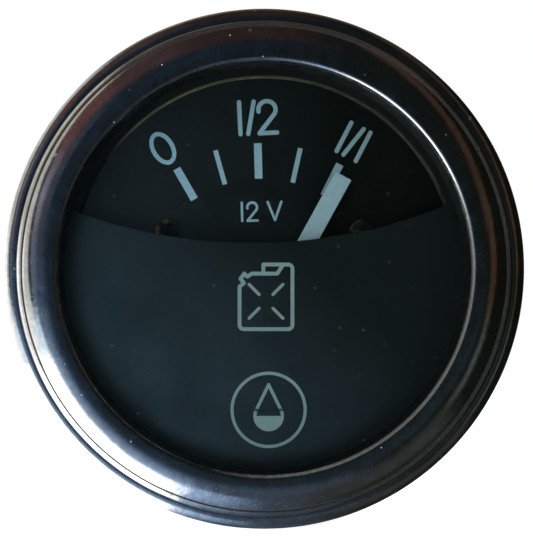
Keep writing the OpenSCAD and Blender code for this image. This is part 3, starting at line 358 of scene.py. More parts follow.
def specks(tree, where, apart, radius, share, strength=1.0, flat=False):
    """Scattered round specks: strength inside one, 0 outside. A share of the places holds one.

    A plane cuts few balls of a solid pattern, so on one that faces -Y, flat specks are drawn.
    """
    if flat:
        where = add(tree, "Mapping", {"Vector": where, "Rotation": (math.pi / 2, 0, 0)})
    cells = add(tree, "TexVoronoi", {"Vector": where, "Scale": 1 / apart},
                voronoi_dimensions="2D" if flat else "3D").outputs
    spot = add(tree, "MapRange", {
        0: cells["Distance"], 1: radius / apart, 2: SPECK_CORE * radius / apart, 4: strength,
    })
    red = add(tree, "SeparateColor", {0: cells["Color"]})
    held = add(tree, "Math", {0: red, 1: 1 - share}, operation="GREATER_THAN")
    return product(tree, spot, held)


def scratches(tree, where, apart, stretch, width):
    """Fine lines along one direction: a noise drawn out by stretch, cut to its thin ridges."""
    drawn = add(tree, "Mapping", {"Vector": where, "Rotation": SCRATCH_TILT,
                                  "Scale": (1, 1 / stretch, 1)})
    noise = add(tree, "TexNoise", {"Vector": drawn, "Scale": 1 / apart, "Detail": 2})
    ridge = add(tree, "Math", {0: noise, 1: 0.5}, operation="SUBTRACT")
    line = add(tree, "Math", {0: ridge}, operation="ABSOLUTE")
    return add(tree, "MapRange", {0: line, 2: width, 3: 1, 4: 0})


def from_axis(tree, where):
    """The distance from the gauge's axis."""
    flat = add(tree, "VectorMath", {0: where, 1: (1, 0, 1)}, operation="MULTIPLY")
    return add(tree, "VectorMath", {0: flat}, operation="LENGTH").outputs["Value"]


def between(tree, value, low, high, soft):
    """1 from low to high, and 0 beyond a soft edge at each."""
    over = add(tree, "MapRange", {0: value, 1: low - soft, 2: low})
    under = add(tree, "MapRange", {0: value, 1: high + soft, 2: high})
    return product(tree, over, under)


def coats(tree, clean, *layers):
    """A clean colour under other ones. Each layer is an amount from 0 to 1 and a colour."""
    colour = srgb(clean)
    for amount, code in layers:
        colour = add(tree, "Mix", {0: amount, 6: colour, 7: srgb(code)},
                     data_type="RGBA").outputs[2]
    return colour


def relief(tree, surface, *layers):
    """Raises the surface in layers. Each is a height from 0 to 1 and its depth in metres."""
    below = {}
    for value, depth in layers:
        inputs = {"Height": value, "Strength": 1, "Distance": depth, **below}
        below = {"Normal": add(tree, "Bump", inputs)}
    join(tree, surface, below)


# %% [markdown]
# ## Metal finishes
# Most of the gauge is plated or bare metal. One function makes such a finish from what tells
# one from another: its clean colour, the colour it ages to, how polished it is and how coarse
# its patches are. Zinc grows a chalky bloom that isn't metal any more, so bloom says how much of
# the metal's shine is lost. The chrome, which fills the picture, gets its own below.

# %% Aged metal
def aged_metal(name, clean, aged, polish, patch_size, aging=0.5, grain=0.12 * MM, depth=2e-6,
               bloom=(0.0, 0.0)):
    """Metal with patches of tarnish, uneven polish, dark specks and a fine surface grain."""
    material, tree, surface, where = start_finish(name)
    colour = coats(tree, clean, (cloud(tree, where, patch_size, 0, aging), aged),
                   (specks(tree, where, 1.6 * MM, 0.08 * MM, 0.12, 0.4), "#2b241c"))
    rough = cloud(tree, where, patch_size * 0.4, *polish, 4)
    metal = cloud(tree, where, patch_size * 0.6, 1 - bloom[0], 1 - bloom[1], 4) if bloom[1] else 1
    join(tree, surface, {"Base Color": colour, "Metallic": metal, "Roughness": rough})
    relief(tree, surface, (cloud(tree, where, grain, 0, 1, 2), depth))
    return material


# turned brass of the posts, nuts and rivets: yellow metal that has gone brown in patches
brass = aged_metal("turned_brass", "#c9a25c", "#8a6a3c", (0.22, 0.42), 3 * MM)
# sintered bronze of the bushes: duller, redder and finely porous
bronze = aged_metal("sintered_bronze", "#a5764a", "#6f4d30", (0.4, 0.55), 1.5 * MM, depth=6e-6)
# ground steel of the spindle, pins and pillars
ground_steel = aged_metal("ground_steel", "#b9bab8", "#8d8a84", (0.18, 0.34), 2 * MM, 0.4)
# soft iron of the cores and yokes, blued by heat to a dark slate
blued_iron = aged_metal("blued_soft_iron", "#4a4d55", "#5a4e42", (0.32, 0.5), 3 * MM)
# zinc plate on the drawn steel case: pale grey, matt, with the faint bloom of white rust
zinc_case = aged_metal("zinc_plated_sheet", "#a6a8a4", "#94948a", (0.42, 0.52), 2.4 * MM, 0.6,
                       0.3 * MM, 3e-6, (0.46, 0.56))
# bright zinc on the clamp's strip, handled and rubbed
zinc_strip = aged_metal("bright_zinc_strip", "#b6b8b6", "#9a978c", (0.34, 0.44), 1.8 * MM, 0.5,
                        0.25 * MM, 3e-6, (0.3, 0.4))
# zinc on the studs and locknuts, dulled to grey
zinc_stud = aged_metal("dull_zinc_stud", "#a4a5a2", "#7d776b", (0.3, 0.48), 2 * MM)
# tinned brass blades: warm silver with brass showing at the rubbed places
tinned_brass = aged_metal("tinned_brass", "#c8c3b4", "#b79a62", (0.24, 0.4), 2.4 * MM, 0.6)
# oil-blackened spring steel of the split washers
black_steel = aged_metal("blackened_spring_steel", "#3f4042", "#2c2622", (0.3, 0.48), 1.5 * MM)
# nickel plate of the lamp holder: warmer than zinc, smoother too
nickel = aged_metal("nickel_plate", "#bdb7a8", "#8c8068", (0.16, 0.32), 3 * MM)
# drawn tungsten of the filament
tungsten = aged_metal("drawn_tungsten", "#6f7074", "#4a4a4e", (0.3, 0.45), 0.6 * MM)
print("the last of the plain metals is", tungsten.name)

# %% [markdown]
# ## Chrome
# The bezel is pressed brass under a thin chrome plate. Years have left it with brownish tarnish
# in cloudy patches, pinholes where the plate has lifted, dust, and fine rubbing marks. The plate
# was never flat either: the press left slow waves, which make the edges of a reflection wander.
# A clean mirror would look like plastic, so all of these go in, each at its own size. Three
# lines go in by radius: a film of dust along the ridge's foot, the groove's bottom, darkened
# as painted shade, and the lip's edge, rubbed dull by cleaning cloths at its lower right.

# %% Chrome plate
# Where the three lines lie, as distances from the axis in millimetres
DUST_FROM_R, DUST_TO_R = 27.78, 28.18
GROOVE_SHADE_FROM_R, GROOVE_SHADE_TO_R = 27.82, 27.9
LIP_WORN_R = 23.92
LINE_SOFT = 0.08


def chrome_plate():
    """Tarnished chrome on a pressed bezel."""
    material, tree, surface, where = start_finish("chrome_plate")
    radius = from_axis(tree, where)
    place = add(tree, "SeparateXYZ", {0: where}).outputs
    tarnish = cloud(tree, where, 5 * MM, 0, 0.5, 5)
    bloom = cloud(tree, where, 0.7 * MM, 0, 0.35, 4)
    pinholes = specks(tree, where, 1.1 * MM, 0.09 * MM, 0.35)
    dust = specks(tree, where, 1.9 * MM, 0.1 * MM, 0.3)
    smudges = specks(tree, where, 3.4 * MM, 0.3 * MM, 0.6)
    rubbed = scratches(tree, where, 0.35 * MM, 9, 0.016)
    film = product(tree, between(tree, radius, DUST_FROM_R * MM, DUST_TO_R * MM, LINE_SOFT * MM),
                   cloud(tree, where, 2.5 * MM, 0.7, 1))
    # Painted shade: the groove's bottom is darkened where it would lie in its own shadow
    groove_shade = between(tree, radius, GROOVE_SHADE_FROM_R * MM, GROOVE_SHADE_TO_R * MM, LINE_SOFT * MM)
    edge = add(tree, "MapRange",
               {0: radius, 1: (LIP_WORN_R + LINE_SOFT) * MM, 2: LIP_WORN_R * MM})
    right = add(tree, "MapRange", {0: place["X"], 1: -6 * MM, 2: 9 * MM})
    low = add(tree, "MapRange", {0: place["Z"], 1: 14 * MM, 2: 2 * MM, 3: 0.22})
    lip = product(tree, edge, right, low, cloud(tree, where, 0.8 * MM, 0.5, 0.9, 4))
    # 4c4a45 along the groove's bottom is painted shade
    colour = coats(tree, "#c6c8ce", (tarnish, "#a49c96"), (bloom, "#8f959e"),
                   (pinholes, "#4d4034"), (dust, "#d9d8d2"), (product(tree, film, 0.3), "#8a8468"),
                   (groove_shade, "#4c4a45"), (lip, "#77776a"))
    # Each kind of wear roughens the plate by its share, and each mark, the groove's painted shade
    # too, takes its share of the metal's shine
    rough = cloud(tree, where, 1.4 * MM, 0.07, 0.15, 5)
    for worn, share in ((rubbed, 0.16), (dust, 0.5), (lip, 0.3), (smudges, 0.2)):
        rough = add(tree, "Math", {0: worn, 1: share, 2: rough}, operation="MULTIPLY_ADD")
    metal = 1
    for worn, share in ((dust, 1), (lip, 0.75), (groove_shade, 0.37), (film, 0.07), (smudges, 0.08)):
        metal = add(tree, "Math", {0: worn, 1: -share, 2: metal}, operation="MULTIPLY_ADD",
                    use_clamp=True)
    join(tree, surface, {"Base Color": colour, "Metallic": metal, "Roughness": rough})
    relief(tree, surface, (cloud(tree, where, 3.2 * MM, 0, 1, 2), 14e-6),
           (cloud(tree, where, 0.5 * MM, 0, 1, 3), 2.5e-6), (pinholes, -8e-6))
    return material


chrome = chrome_plate()
print(chrome.name, "has", len(chrome.node_tree.nodes), "nodes")

# %% [markdown]
# ## Paint, ink and plastics
# The dial and mask are sprayed a matt blue-black, and dust has settled on them under the glass.
# Paint isn't metal, so it mirrors only a little, and its colour is what the eye sees. The ink
# and the pointer's white enamel are flat and chalky. Their colours were set by laying the render
# beside the photograph.

# %% Painted and moulded surfaces
def painted(name, clean, hazy, polish, haze_size, dust=0.0):
    """Paint or plastic with a soft haze, specks of dust and a fine orange-peel grain."""
    material, tree, surface, where = start_finish(name)
    layers = [(cloud(tree, where, haze_size, 0, 0.6, 4), hazy)]
    if dust:
        layers += [(specks(tree, where, 2.3 * MM, 0.13 * MM, dust, 0.4), "#8fa0a0"),
                   (specks(tree, where, 0.9 * MM, 0.07 * MM, dust, 0.8), "#a6a28e")]
    join(tree, surface, {"Base Color": coats(tree, clean, *layers),
                         "Roughness": cloud(tree, where, haze_size * 0.5, *polish)})
    relief(tree, surface, (cloud(tree, where, 0.3 * MM, 0, 1, 2), 2e-6))
    return material


ring_lacquer = painted("satin_black_lacquer", "#0c0e0e", "#1b1a17", (0.32, 0.5), 2 * MM, 0.3)
sign_ink = painted("grey_green_sign_ink", "#8ba5a8", "#95adaf", (0.5, 0.65), 0.8 * MM)
phenolic = painted("brown_phenolic", "#4a2a1a", "#5c3822", (0.3, 0.45), 2 * MM)
seal_rubber = painted("black_rubber", "#161616", "#2a2927", (0.6, 0.8), 2 * MM)
bobbin_plastic = painted("moulded_bobbin_plastic", "#b39a6c", "#9d8456", (0.4, 0.55), 2 * MM)
lead_sleeve = painted("red_lead_sleeve", "#8c1f1a", "#6f1813", (0.35, 0.5), 1 * MM)
print("the last painted finish is", lead_sleeve.name)

# %% [markdown]
# The scale is printed in one pale blue ink, painted bluer and lighter on the left, where the window
# light falls, and greyer on the right as painted shade. Only the pull of the ink on the plate shows
# beside that, as a faint mottle.

# %% Scale ink
def scale_print():
    """Pale blue ink, painted greyer towards the right as painted shade away from the window light.
    """
    material, tree, surface, where = start_finish("pale_blue_scale_ink")
    side = add(tree, "SeparateXYZ", {0: where}).outputs["X"]
    # Painted shade: the ink turns greyer from left to right, away from the window light
    painted_shade_right = add(tree, "MapRange", {0: side, 1: -11 * MM, 2: 11 * MM})
    colour = coats(tree, "#a5d1ed", (painted_shade_right, "#9ab4bf"),
                   (cloud(tree, where, 0.8 * MM, 0, 0.2, 4), "#7f97a2"))
    join(tree, surface, {"Base Color": colour, "Roughness": cloud(tree, where, 0.4 * MM, 0.5, 0.65)})
    relief(tree, surface, (cloud(tree, where, 0.3 * MM, 0, 1, 2), 2e-6))
    return material


scale_ink = scale_print()
print(scale_ink.name)

# %% [markdown]
# The dial and the mask catch the window light more on the left, where a thin film of dust on them
# turns the black a hazy blue. A slow blend across each paints that in as painted window light, under
# the specks of dust. On the mask the painted light reaches low down as well, and near the edge of
# each the film fades out to the bare black as painted shade under the rings. The larger specks are
# damp spots that dried as faint rings.

# %% Paint under a film of dust, with painted light and shade
# Damp spots: millimetres apart, the bare middle as a share of the radius, and how bare it is
SPOT_APART = 2.9
SPOT_MIDDLE = 0.55
MIDDLE_CLEAR = 0.6


def dust_film_and_painted_light(name, clean, lit_film_tone, down, thin_and_dim_at, thick_and_lit_at, fade_from, fade_to):
    """Matt paint under a dusty film, which runs from thin to thick along X plus a share of Z.

    Where it is thick it is painted lighter, as painted window light, and near the edge it fades out
    as painted shade.
    """
    material, tree, surface, where = start_finish(name)
    place = add(tree, "SeparateXYZ", {0: where}).outputs
    # The film is painted lighter towards -X, and on the mask towards -Z too, as painted window light
    slope = add(tree, "Math", {0: place["Z"], 1: down, 2: place["X"]}, operation="MULTIPLY_ADD")
    film = add(tree, "MapRange", {0: slope, 1: thin_and_dim_at, 2: thick_and_lit_at})
    # Near the edge the film fades out to the bare black paint as painted shade
    inside = add(tree, "MapRange", {0: from_axis(tree, where), 1: fade_from, 2: fade_to, 3: 1, 4: 0},
                 interpolation_type="SMOOTHSTEP")
    film = product(tree, film, cloud(tree, where, 7 * MM, 0.7, 1.1, 4), inside)
    layers = [(film, lit_film_tone)]
    # Each kind of spot has its radius in millimetres, its share of the places and its strength
    for radius, share, strength in ((0.16, 0.08, 0.2), (0.24, 0.3, 0.06)):
        whole = specks(tree, where, SPOT_APART * MM, radius * MM, share, strength, flat=True)
        middle = specks(tree, where, SPOT_APART * MM, SPOT_MIDDLE * radius * MM, share,
                        MIDDLE_CLEAR * strength, flat=True)
        ring = add(tree, "Math", {0: whole, 1: middle}, operation="SUBTRACT")
        layers.append((ring, "#9aa9a8"))
    layers.append((specks(tree, where, 1.1 * MM, 0.07 * MM, 0.2, 0.3), "#a5a08a"))
    join(tree, surface, {"Base Color": coats(tree, clean, *layers), "Specular IOR Level": 0.1,
                         "Roughness": cloud(tree, where, 4 * MM, 0.5, 0.66)})
    relief(tree, surface, (cloud(tree, where, 0.16 * MM, 0, 1, 2), 3e-6))
    return material


# The dial's film is painted lighter to the left and the mask's to the lower left, as painted window
# light
dial_paint = dust_film_and_painted_light("matt_black_dial_paint", "#0e1312", "#273037", 0, 9 * MM, -15 * MM,
                          22.2 * MM, 22.4 * MM)
mask_finish = dust_film_and_painted_light("dusty_blue_black_mask_paint", "#171e20", "#394b59", 1, 6 * MM, -42 * MM,
                           20.7 * MM, 23.0 * MM)
print(dial_paint.name, "and", mask_finish.name)

# %% [markdown]
# The pointer is a strip of aluminium under white enamel. The enamel is thin, so it has rubbed
# to a greyer tone in streaks along the blade, and it has chipped in places down to bare metal.

# %% Pointer enamel
def pointer_enamel():
    """White enamel with faint streaks and a few chips."""
    material, tree, surface, where = start_finish("white_pointer_enamel")
    colour = coats(tree, "#a9c3d2", (cloud(tree, where, 0.7 * MM, 0, 0.5, 4), "#97b1c0"),
                   (specks(tree, where, 1.3 * MM, 0.09 * MM, 0.2, 0.6), "#4f5a5e"))
    join(tree, surface, {"Base Color": colour, "Roughness": cloud(tree, where, 1 * MM, 0.42, 0.6)})
    relief(tree, surface, (cloud(tree, where, 0.2 * MM, 0, 1, 2), 2e-6))
    return material


pointer_finish = pointer_enamel()
print(pointer_finish.name)

# %% [markdown]
# The dial stands on a ring lacquered black like the one above it. Along the ring's narrow foot the
# lacquer has worn to the olive of old brass, laid on as a painted highlight that is strongest at the
# upper left, and this draws the thin pale line around the dial. The line dies away before it reaches
# the mask.

# %% Dial ring lacquer
FOOT_OUT_R = 22.32
FOOT_SOFT = 0.06


def dial_ring_lacquer():
    """Black lacquer worn to dull brass along the ring's foot, laid on as a painted highlight."""
    material, tree, surface, where = start_finish("worn_dial_ring_lacquer_with_painted_highlight")
    foot = add(tree, "MapRange", {
        0: from_axis(tree, where), 1: FOOT_OUT_R * MM, 2: (FOOT_OUT_R - FOOT_SOFT) * MM,
    })
    side = add(tree, "SeparateXYZ", {0: where}).outputs["X"]
    # Painted highlight: the worn olive line is full on the left and weak on the right
    left = add(tree, "MapRange", {0: side, 1: 9 * MM, 2: -4 * MM, 3: 0.22})
    end = add(tree, "MapRange", {0: side, 1: -18.5 * MM, 2: -14 * MM})
    worn = product(tree, foot, left, end, cloud(tree, where, 1.2 * MM, 0.5, 1, 4))
    join(tree, surface, {"Base Color": coats(tree, "#0e1010", (worn, "#86805f")),
                         "Roughness": cloud(tree, where, 1 * MM, 0.4, 0.6)})
    relief(tree, surface, (cloud(tree, where, 0.2 * MM, 0, 1, 2), 4e-6))
    return material


dial_ring_finish = dial_ring_lacquer()
print(dial_ring_finish.name)

# %% [markdown]
# ## Screws, card and windings
# The dial's screws are brass dipped black, so that they don't shine beside the scale, and the
# black has worn off their edges. A winding is hundreds of turns of lacquered wire. The turns
# are far finer than the picture, so they are drawn as a coarser ribbed relief, a rib for every
# six turns, with the wire's own gloss. Each rib is painted bright on its crest and shaded
# between, as painted highlight and shade.

# %% Blackened screw
def blackened_brass():
    """Brass under a chemical black that has worn through in a few small patches."""
    material, tree, surface, where = start_finish("blackened_brass")
    worn = add(tree, "Clamp", {0: cloud(tree, where, 0.9 * MM, -0.9, 0.5, 4)})
    join(tree, surface, {"Base Color": coats(tree, "#121110", (worn, "#8a755a")),
                         "Metallic": worn, "Roughness": cloud(tree, where, 0.5 * MM, 0.25, 0.5)})
    relief(tree, surface, (cloud(tree, where, 0.2 * MM, 0, 1, 2), 4e-6))
    return material


screw_black = blackened_brass()
print(screw_black.name)

# %% Windings and board
# A wave texture turns by so many radians in each unit of its scale
WAVE_RADIANS = 20
# One rib stands for this many turns of wire
TURNS_TO_A_RIB = 2 * math.pi


def wound_wire(name, bright, shaded, turn, axis):
    """Turns of lacquered wire side by side, along the named axis of the gauge.

    Each rib is painted bright on its crest and shaded between, as painted highlight and shade.
    """
    material, tree, surface, where = start_finish(name)
    waves = 2 * math.pi / (WAVE_RADIANS * TURNS_TO_A_RIB * turn)
    ribs = add(tree, "TexWave", {"Vector": where, "Scale": waves, "Distortion": 0.4},
               wave_type="BANDS", bands_direction=axis).outputs[1]
    # The ribs are painted bright on their crests and shaded between, as painted highlight and shade
    colour = coats(tree, shaded, (ribs, bright), (cloud(tree, where, 1.5 * MM, 0, 0.5), shaded))
    join(tree, surface, {"Base Color": colour, "Metallic": 0.7, "Roughness": 0.3,
                         "Coat Weight": 0.6, "Coat Roughness": 0.15})
    relief(tree, surface, (ribs, 0.3 * turn))
    return material


def pressed_board():
    """Brown insulating board with flecks of fibre."""
    material, tree, surface, where = start_finish("pressed_fibre_board")
    long_way = add(tree, "Mapping", {"Vector": where, "Scale": (0.2, 1, 1)})
    fibre = cloud(tree, long_way, 0.3 * MM, 0, 0.8, 4)
    join(tree, surface, {"Base Color": coats(tree, "#5a3a22", (fibre, "#7d5938")),
                         "Roughness": cloud(tree, where, 1 * MM, 0.6, 0.8)})
    relief(tree, surface, (fibre, 12e-6))
    return material


# 0.15 mm wire in the coils and 0.2 mm resistance wire on the card
copper = wound_wire("enamelled_copper_wire", "#b5632f", "#6a3216", 0.15 * MM, "Z")
resistance = wound_wire("bare_resistance_wire", "#8a7a6a", "#4a4038", 0.2 * MM, "X")
board = pressed_board()
print(copper.name, resistance.name, board.name)

# %% [markdown]
# ## Glass
# The gauge's glass is flat and thin, so it hardly bends what is behind it and shows itself only
# by a faint reflection. A glass shader stops lamplight unless slow caustics are traced, so rays
# that carry light to the dial pass straight through a clear shader instead.
# Faint smears roughen it here and there.

# %% Glass
def clear_glass(name, shade, rough_to):
    """Clear glass that lets lamps through."""
    material, tree, surface, where = start_finish(name)
    smears = cloud(tree, where, 3 * MM, 0, rough_to, 4)
    join(tree, surface, {"Base Color": srgb(shade), "Transmission Weight": 1, "IOR": 1.5,
                         "Roughness": smears})
    ray = add(tree, "LightPath").outputs
    passing = ray["Is Shadow Ray"]
    for kind in ("Is Diffuse Ray", "Is Glossy Ray"):
        passing = add(tree, "Math", {0: passing, 1: ray[kind]}, operation="MAXIMUM")
    clear = add(tree, "BsdfTransparent", {"Color": srgb(shade)})
    both = add(tree, "MixShader", {0: passing, 1: surface, 2: clear})
    output = next(n for n in tree.nodes if n.type == "OUTPUT_MATERIAL")
    join(tree, output, {"Surface": both})
    return material


window_glass = clear_glass("flat_window_glass", "#f3f8f7", 0.02)
bulb_glass = clear_glass("blown_bulb_glass", "#fbfbf9", 0.03)
print(window_glass.name, bulb_glass.name)

# %% [markdown]
# ## Tools for shapes
# A round piece is a section spun about the gauge's axis. The section is drawn in the plane of X
# and Y, as radius and depth, with straight runs and arcs, and an arc is itself a spun point.

# %% Tools for shapes
SMOOTH_UNDER = math.radians(32)
# How far apart two points may be that are welded: drawn ones, and those of a solid's triangles
WELD = 0.0001 * MM
LOOSE_WELD = 0.001 * MM


def lines_to(bm, start, *points):
    """Draws a section's straight runs through points of radius and depth, in millimetres."""
    for r, y in points:
        end = bm.verts.new((r * MM, y * MM, 0))
        bm.edges.new((start, end))
        start = end
    return start


def arc_to(bm, start, centre, degrees, steps):
    """Draws a section's arc about a centre. A positive angle turns from +X towards +Y."""
    turned = bmesh.ops.spin(bm, geom=[start], cent=(centre[0] * MM, centre[1] * MM, 0),
                            axis=(0, 0, 1), angle=math.radians(degrees), steps=steps)
    return next(v for v in turned["geom_last"] if isinstance(v, bmesh.types.BMVert))


def spin_section(bm, steps):
    """Spins all that is drawn so far about the gauge's axis."""
    bmesh.ops.spin(bm, geom=bm.verts[:] + bm.edges[:], cent=(0, 0, 0), axis=(0, 1, 0),
                   angle=2 * math.pi, steps=steps, use_merge=True)


def finish_piece(bm, name, finish, body, replaced):
    bmesh.ops.remove_doubles(bm, verts=bm.verts, dist=WELD)
    bmesh.ops.recalc_face_normals(bm, faces=bm.faces)
    for face in bm.faces:
        face.smooth = True
    # An edge without two faces counts as sharp
    for edge in bm.edges:
        edge.smooth = edge.calc_face_angle(math.pi) < SMOOTH_UNDER
    mesh = bpy.data.meshes.new(name)
    bm.to_mesh(mesh)
    bm.free()
    mesh.materials.append(finish)
    piece = bpy.data.objects.new(name, mesh)
    scene.collection.objects.link(piece)
    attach(piece, body)
    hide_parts(*replaced)
    print(name, len(mesh.polygons), "faces")
    return piece


# %% [markdown]
# ## Bezel
# The bezel is one pressing: a lip that rolls in over the glass, a narrow flat, a wide rounded band,
# a groove with a ridge beside it, a step with a round shoulder, and an edge folded behind. Its
# reflections give away every flat facet, so its section is drawn afresh with true arcs and spun in
# one-degree steps. The sizes repeat the CAD's section, so the two surfaces agree.

# %% Bezel
BEZEL_R = 30.0
CROWN_R, CROWN_Y = 24.8, -4.6
LIP_RING_R = 24.15
LIP_ROLL_R = 0.5
BAND_R = 4.0
SHEET = 0.7
GROOVE_AT_R = 27.9
GROOVE_R = 0.12
RIDGE_R = 1.5
STEP_Y = -2.1
SHOULDER_R = 1.4
REAR_EDGE_R = 0.4
LIP_BACK_R = 24.35
LIP_BOTTOM_Y = -3.54
FOLD_R = 27.2
FOLD_T = 0.6
POCKET_R = 29.3
POCKET_Y = -1.45
BEZEL_STEPS = 360


def turn_of(point, centre):
    """The angle of a section's point about a centre, in degrees from +X towards -Y."""
    return math.degrees(math.atan2(centre[1] - point[1], point[0] - centre[0]))


def on_circle(centre, r, turn):
    """The section's point at an angle on a circle."""
    return centre[0] + r * math.cos(math.radians(turn)), centre[1] - r * math.sin(math.radians(turn))


band_at = (CROWN_R, CROWN_Y + BAND_R)
groove_at = (GROOVE_AT_R, band_at[1] - math.sqrt(BAND_R ** 2 - (GROOVE_AT_R - CROWN_R) ** 2))
step_at = (BEZEL_R - SHOULDER_R, STEP_Y)
# The ridge's round runs through the groove and the top of the step's shoulder
chord = math.dist(groove_at, step_at)
sag = math.sqrt(RIDGE_R ** 2 - (chord / 2) ** 2) / chord
ridge_at = ((groove_at[0] + step_at[0]) / 2 - sag * (step_at[1] - groove_at[1]),
            (groove_at[1] + step_at[1]) / 2 + sag * (step_at[0] - groove_at[0]))
# Where the groove's round cuts the ridge and the band
ridge_cut = turn_of(groove_at, ridge_at) - 2 * math.degrees(math.asin(GROOVE_R / 2 / RIDGE_R))
band_cut = turn_of(groove_at, band_at) + 2 * math.degrees(math.asin(GROOVE_R / 2 / BAND_R))
groove_from = turn_of(on_circle(ridge_at, RIDGE_R, ridge_cut), groove_at)
groove_to = turn_of(on_circle(band_at, BAND_R, band_cut), groove_at) - 360
inner_r = BAND_R - SHEET
inner_from = math.degrees(math.acos((LIP_BACK_R - band_at[0]) / inner_r))
inner_to = math.degrees(math.asin((band_at[1] - POCKET_Y) / inner_r))

# Each arc ends with its angle and its number of steps
bm = bmesh.new()
first = bm.verts.new((FOLD_R * MM, 0, 0))
at = lines_to(bm, first, (BEZEL_R - REAR_EDGE_R, 0))
at = arc_to(bm, at, (BEZEL_R - REAR_EDGE_R, -REAR_EDGE_R), -90, 6)
at = lines_to(bm, at, (BEZEL_R, STEP_Y + SHOULDER_R))
at = arc_to(bm, at, (BEZEL_R - SHOULDER_R, STEP_Y + SHOULDER_R), -90, 18)
at = arc_to(bm, at, ridge_at, turn_of(step_at, ridge_at) - ridge_cut, 14)
at = arc_to(bm, at, groove_at, groove_from - groove_to, 8)
at = arc_to(bm, at, band_at, band_cut - 90, 34)
at = lines_to(bm, at, (LIP_RING_R, CROWN_Y))
at = arc_to(bm, at, (LIP_RING_R, CROWN_Y + LIP_ROLL_R), -90, 16)
at = lines_to(bm, at, (LIP_RING_R - LIP_ROLL_R, LIP_BOTTOM_Y), (LIP_BACK_R, LIP_BOTTOM_Y),
              on_circle(band_at, inner_r, inner_from))
at = arc_to(bm, at, band_at, inner_from - inner_to, 24)
at = lines_to(bm, at, (POCKET_R, POCKET_Y), (POCKET_R, -FOLD_T), (FOLD_R, -FOLD_T))
bm.edges.new((at, first))
spin_section(bm, BEZEL_STEPS)
finish_piece(bm, "chromed_bezel", chrome, "gauge", ["bezel"])

# %% [markdown]
# ## Glass and its ring
# The glass is a disc with its cut edge broken by a hair. Below it sits a black spacer ring,
# rolled from thin sheet: a flat flange under the glass, a wall that slopes in to the mask, and a
# foot. Both are spun sections like the bezel's.

# %% Glass disc
GLASS_R = 26.3
GLASS_FRONT_Y = -3.3
GLASS_BACK_Y = -1.8
EDGE_BREAK = 0.12
GLASS_STEPS = 180

bm = bmesh.new()
at = bm.verts.new((0, GLASS_BACK_Y * MM, 0))
lines_to(bm, at, (GLASS_R - EDGE_BREAK, GLASS_BACK_Y), (GLASS_R, GLASS_BACK_Y - EDGE_BREAK),
         (GLASS_R, GLASS_FRONT_Y + EDGE_BREAK), (GLASS_R - EDGE_BREAK, GLASS_FRONT_Y),
         (0, GLASS_FRONT_Y))
spin_section(bm, GLASS_STEPS)
finish_piece(bm, "flat_glass", window_glass, "gauge", ["glass"])

# %% Spacer ring
WALL_TOP_R = 23.65
WALL_FOOT_R = 23.1
RING_OUT_R = 25.0
RING_FLANGE_Y = -1.4
RING_SHEET = 0.4
MASK_FRONT_Y = 0.5
RING_ROLL = 0.2
RING_STEPS = 256

bm = bmesh.new()
roll_at = (WALL_TOP_R + RING_ROLL, GLASS_BACK_Y + RING_ROLL)
first = bm.verts.new((roll_at[0] * MM, GLASS_BACK_Y * MM, 0))
at = lines_to(bm, first, (GLASS_R, GLASS_BACK_Y), (GLASS_R, RING_FLANGE_Y),
              (WALL_TOP_R + RING_SHEET, RING_FLANGE_Y),
              (WALL_FOOT_R + RING_SHEET, MASK_FRONT_Y - RING_SHEET),
              (RING_OUT_R, MASK_FRONT_Y - RING_SHEET), (RING_OUT_R, MASK_FRONT_Y),
              (WALL_FOOT_R, MASK_FRONT_Y), (WALL_TOP_R, roll_at[1]))
arc_to(bm, at, roll_at, 90, 4)
spin_section(bm, RING_STEPS)
finish_piece(bm, "spacer_ring", ring_lacquer, "gauge", ["glass_ring"])

# %% [markdown]
# ## Pieces that need only softer edges
# Stamped and turned pieces have the right shape already, but no real edge is perfectly sharp,
# and a sharp one never catches the light. Each of these is a copy of its solid: the copy's loose
# triangles are welded, flat faces are made whole again, and its sharp edges get a small bevel.
# Normals weighted by area keep the broad faces flat beside it.

# %% Copies with softened edges
# Faces that meet at less than this are made one flat face
FLAT_UNDER = math.radians(0.4)


def bevel_sharp(bm, width, segments=2):
    """Makes flat faces whole, and bevels the sharp edges by so many millimetres."""
    bmesh.ops.dissolve_limit(bm, angle_limit=FLAT_UNDER, verts=bm.verts, edges=bm.edges)
    sharp = [edge for edge in bm.edges if edge.calc_face_angle(0) > SMOOTH_UNDER]
    bmesh.ops.bevel(bm, geom=sharp, offset=width * MM, segments=segments, profile=0.5,
                    affect="EDGES", material=-1, clamp_overlap=True)


def soften(node, name, finish, body, bevel, segments=2):
    """Makes a piece of a solid's copy, with its sharp edges bevelled."""
    bm = bmesh.new()
    bm.from_mesh(nodes[node].data)
    bmesh.ops.remove_doubles(bm, verts=bm.verts, dist=LOOSE_WELD)
    bevel_sharp(bm, bevel, segments)
    piece = finish_piece(bm, name, finish, body, [node])
    weighted = piece.modifiers.new("flat faces stay flat", "WEIGHTED_NORMAL")
    weighted.keep_sharp = True


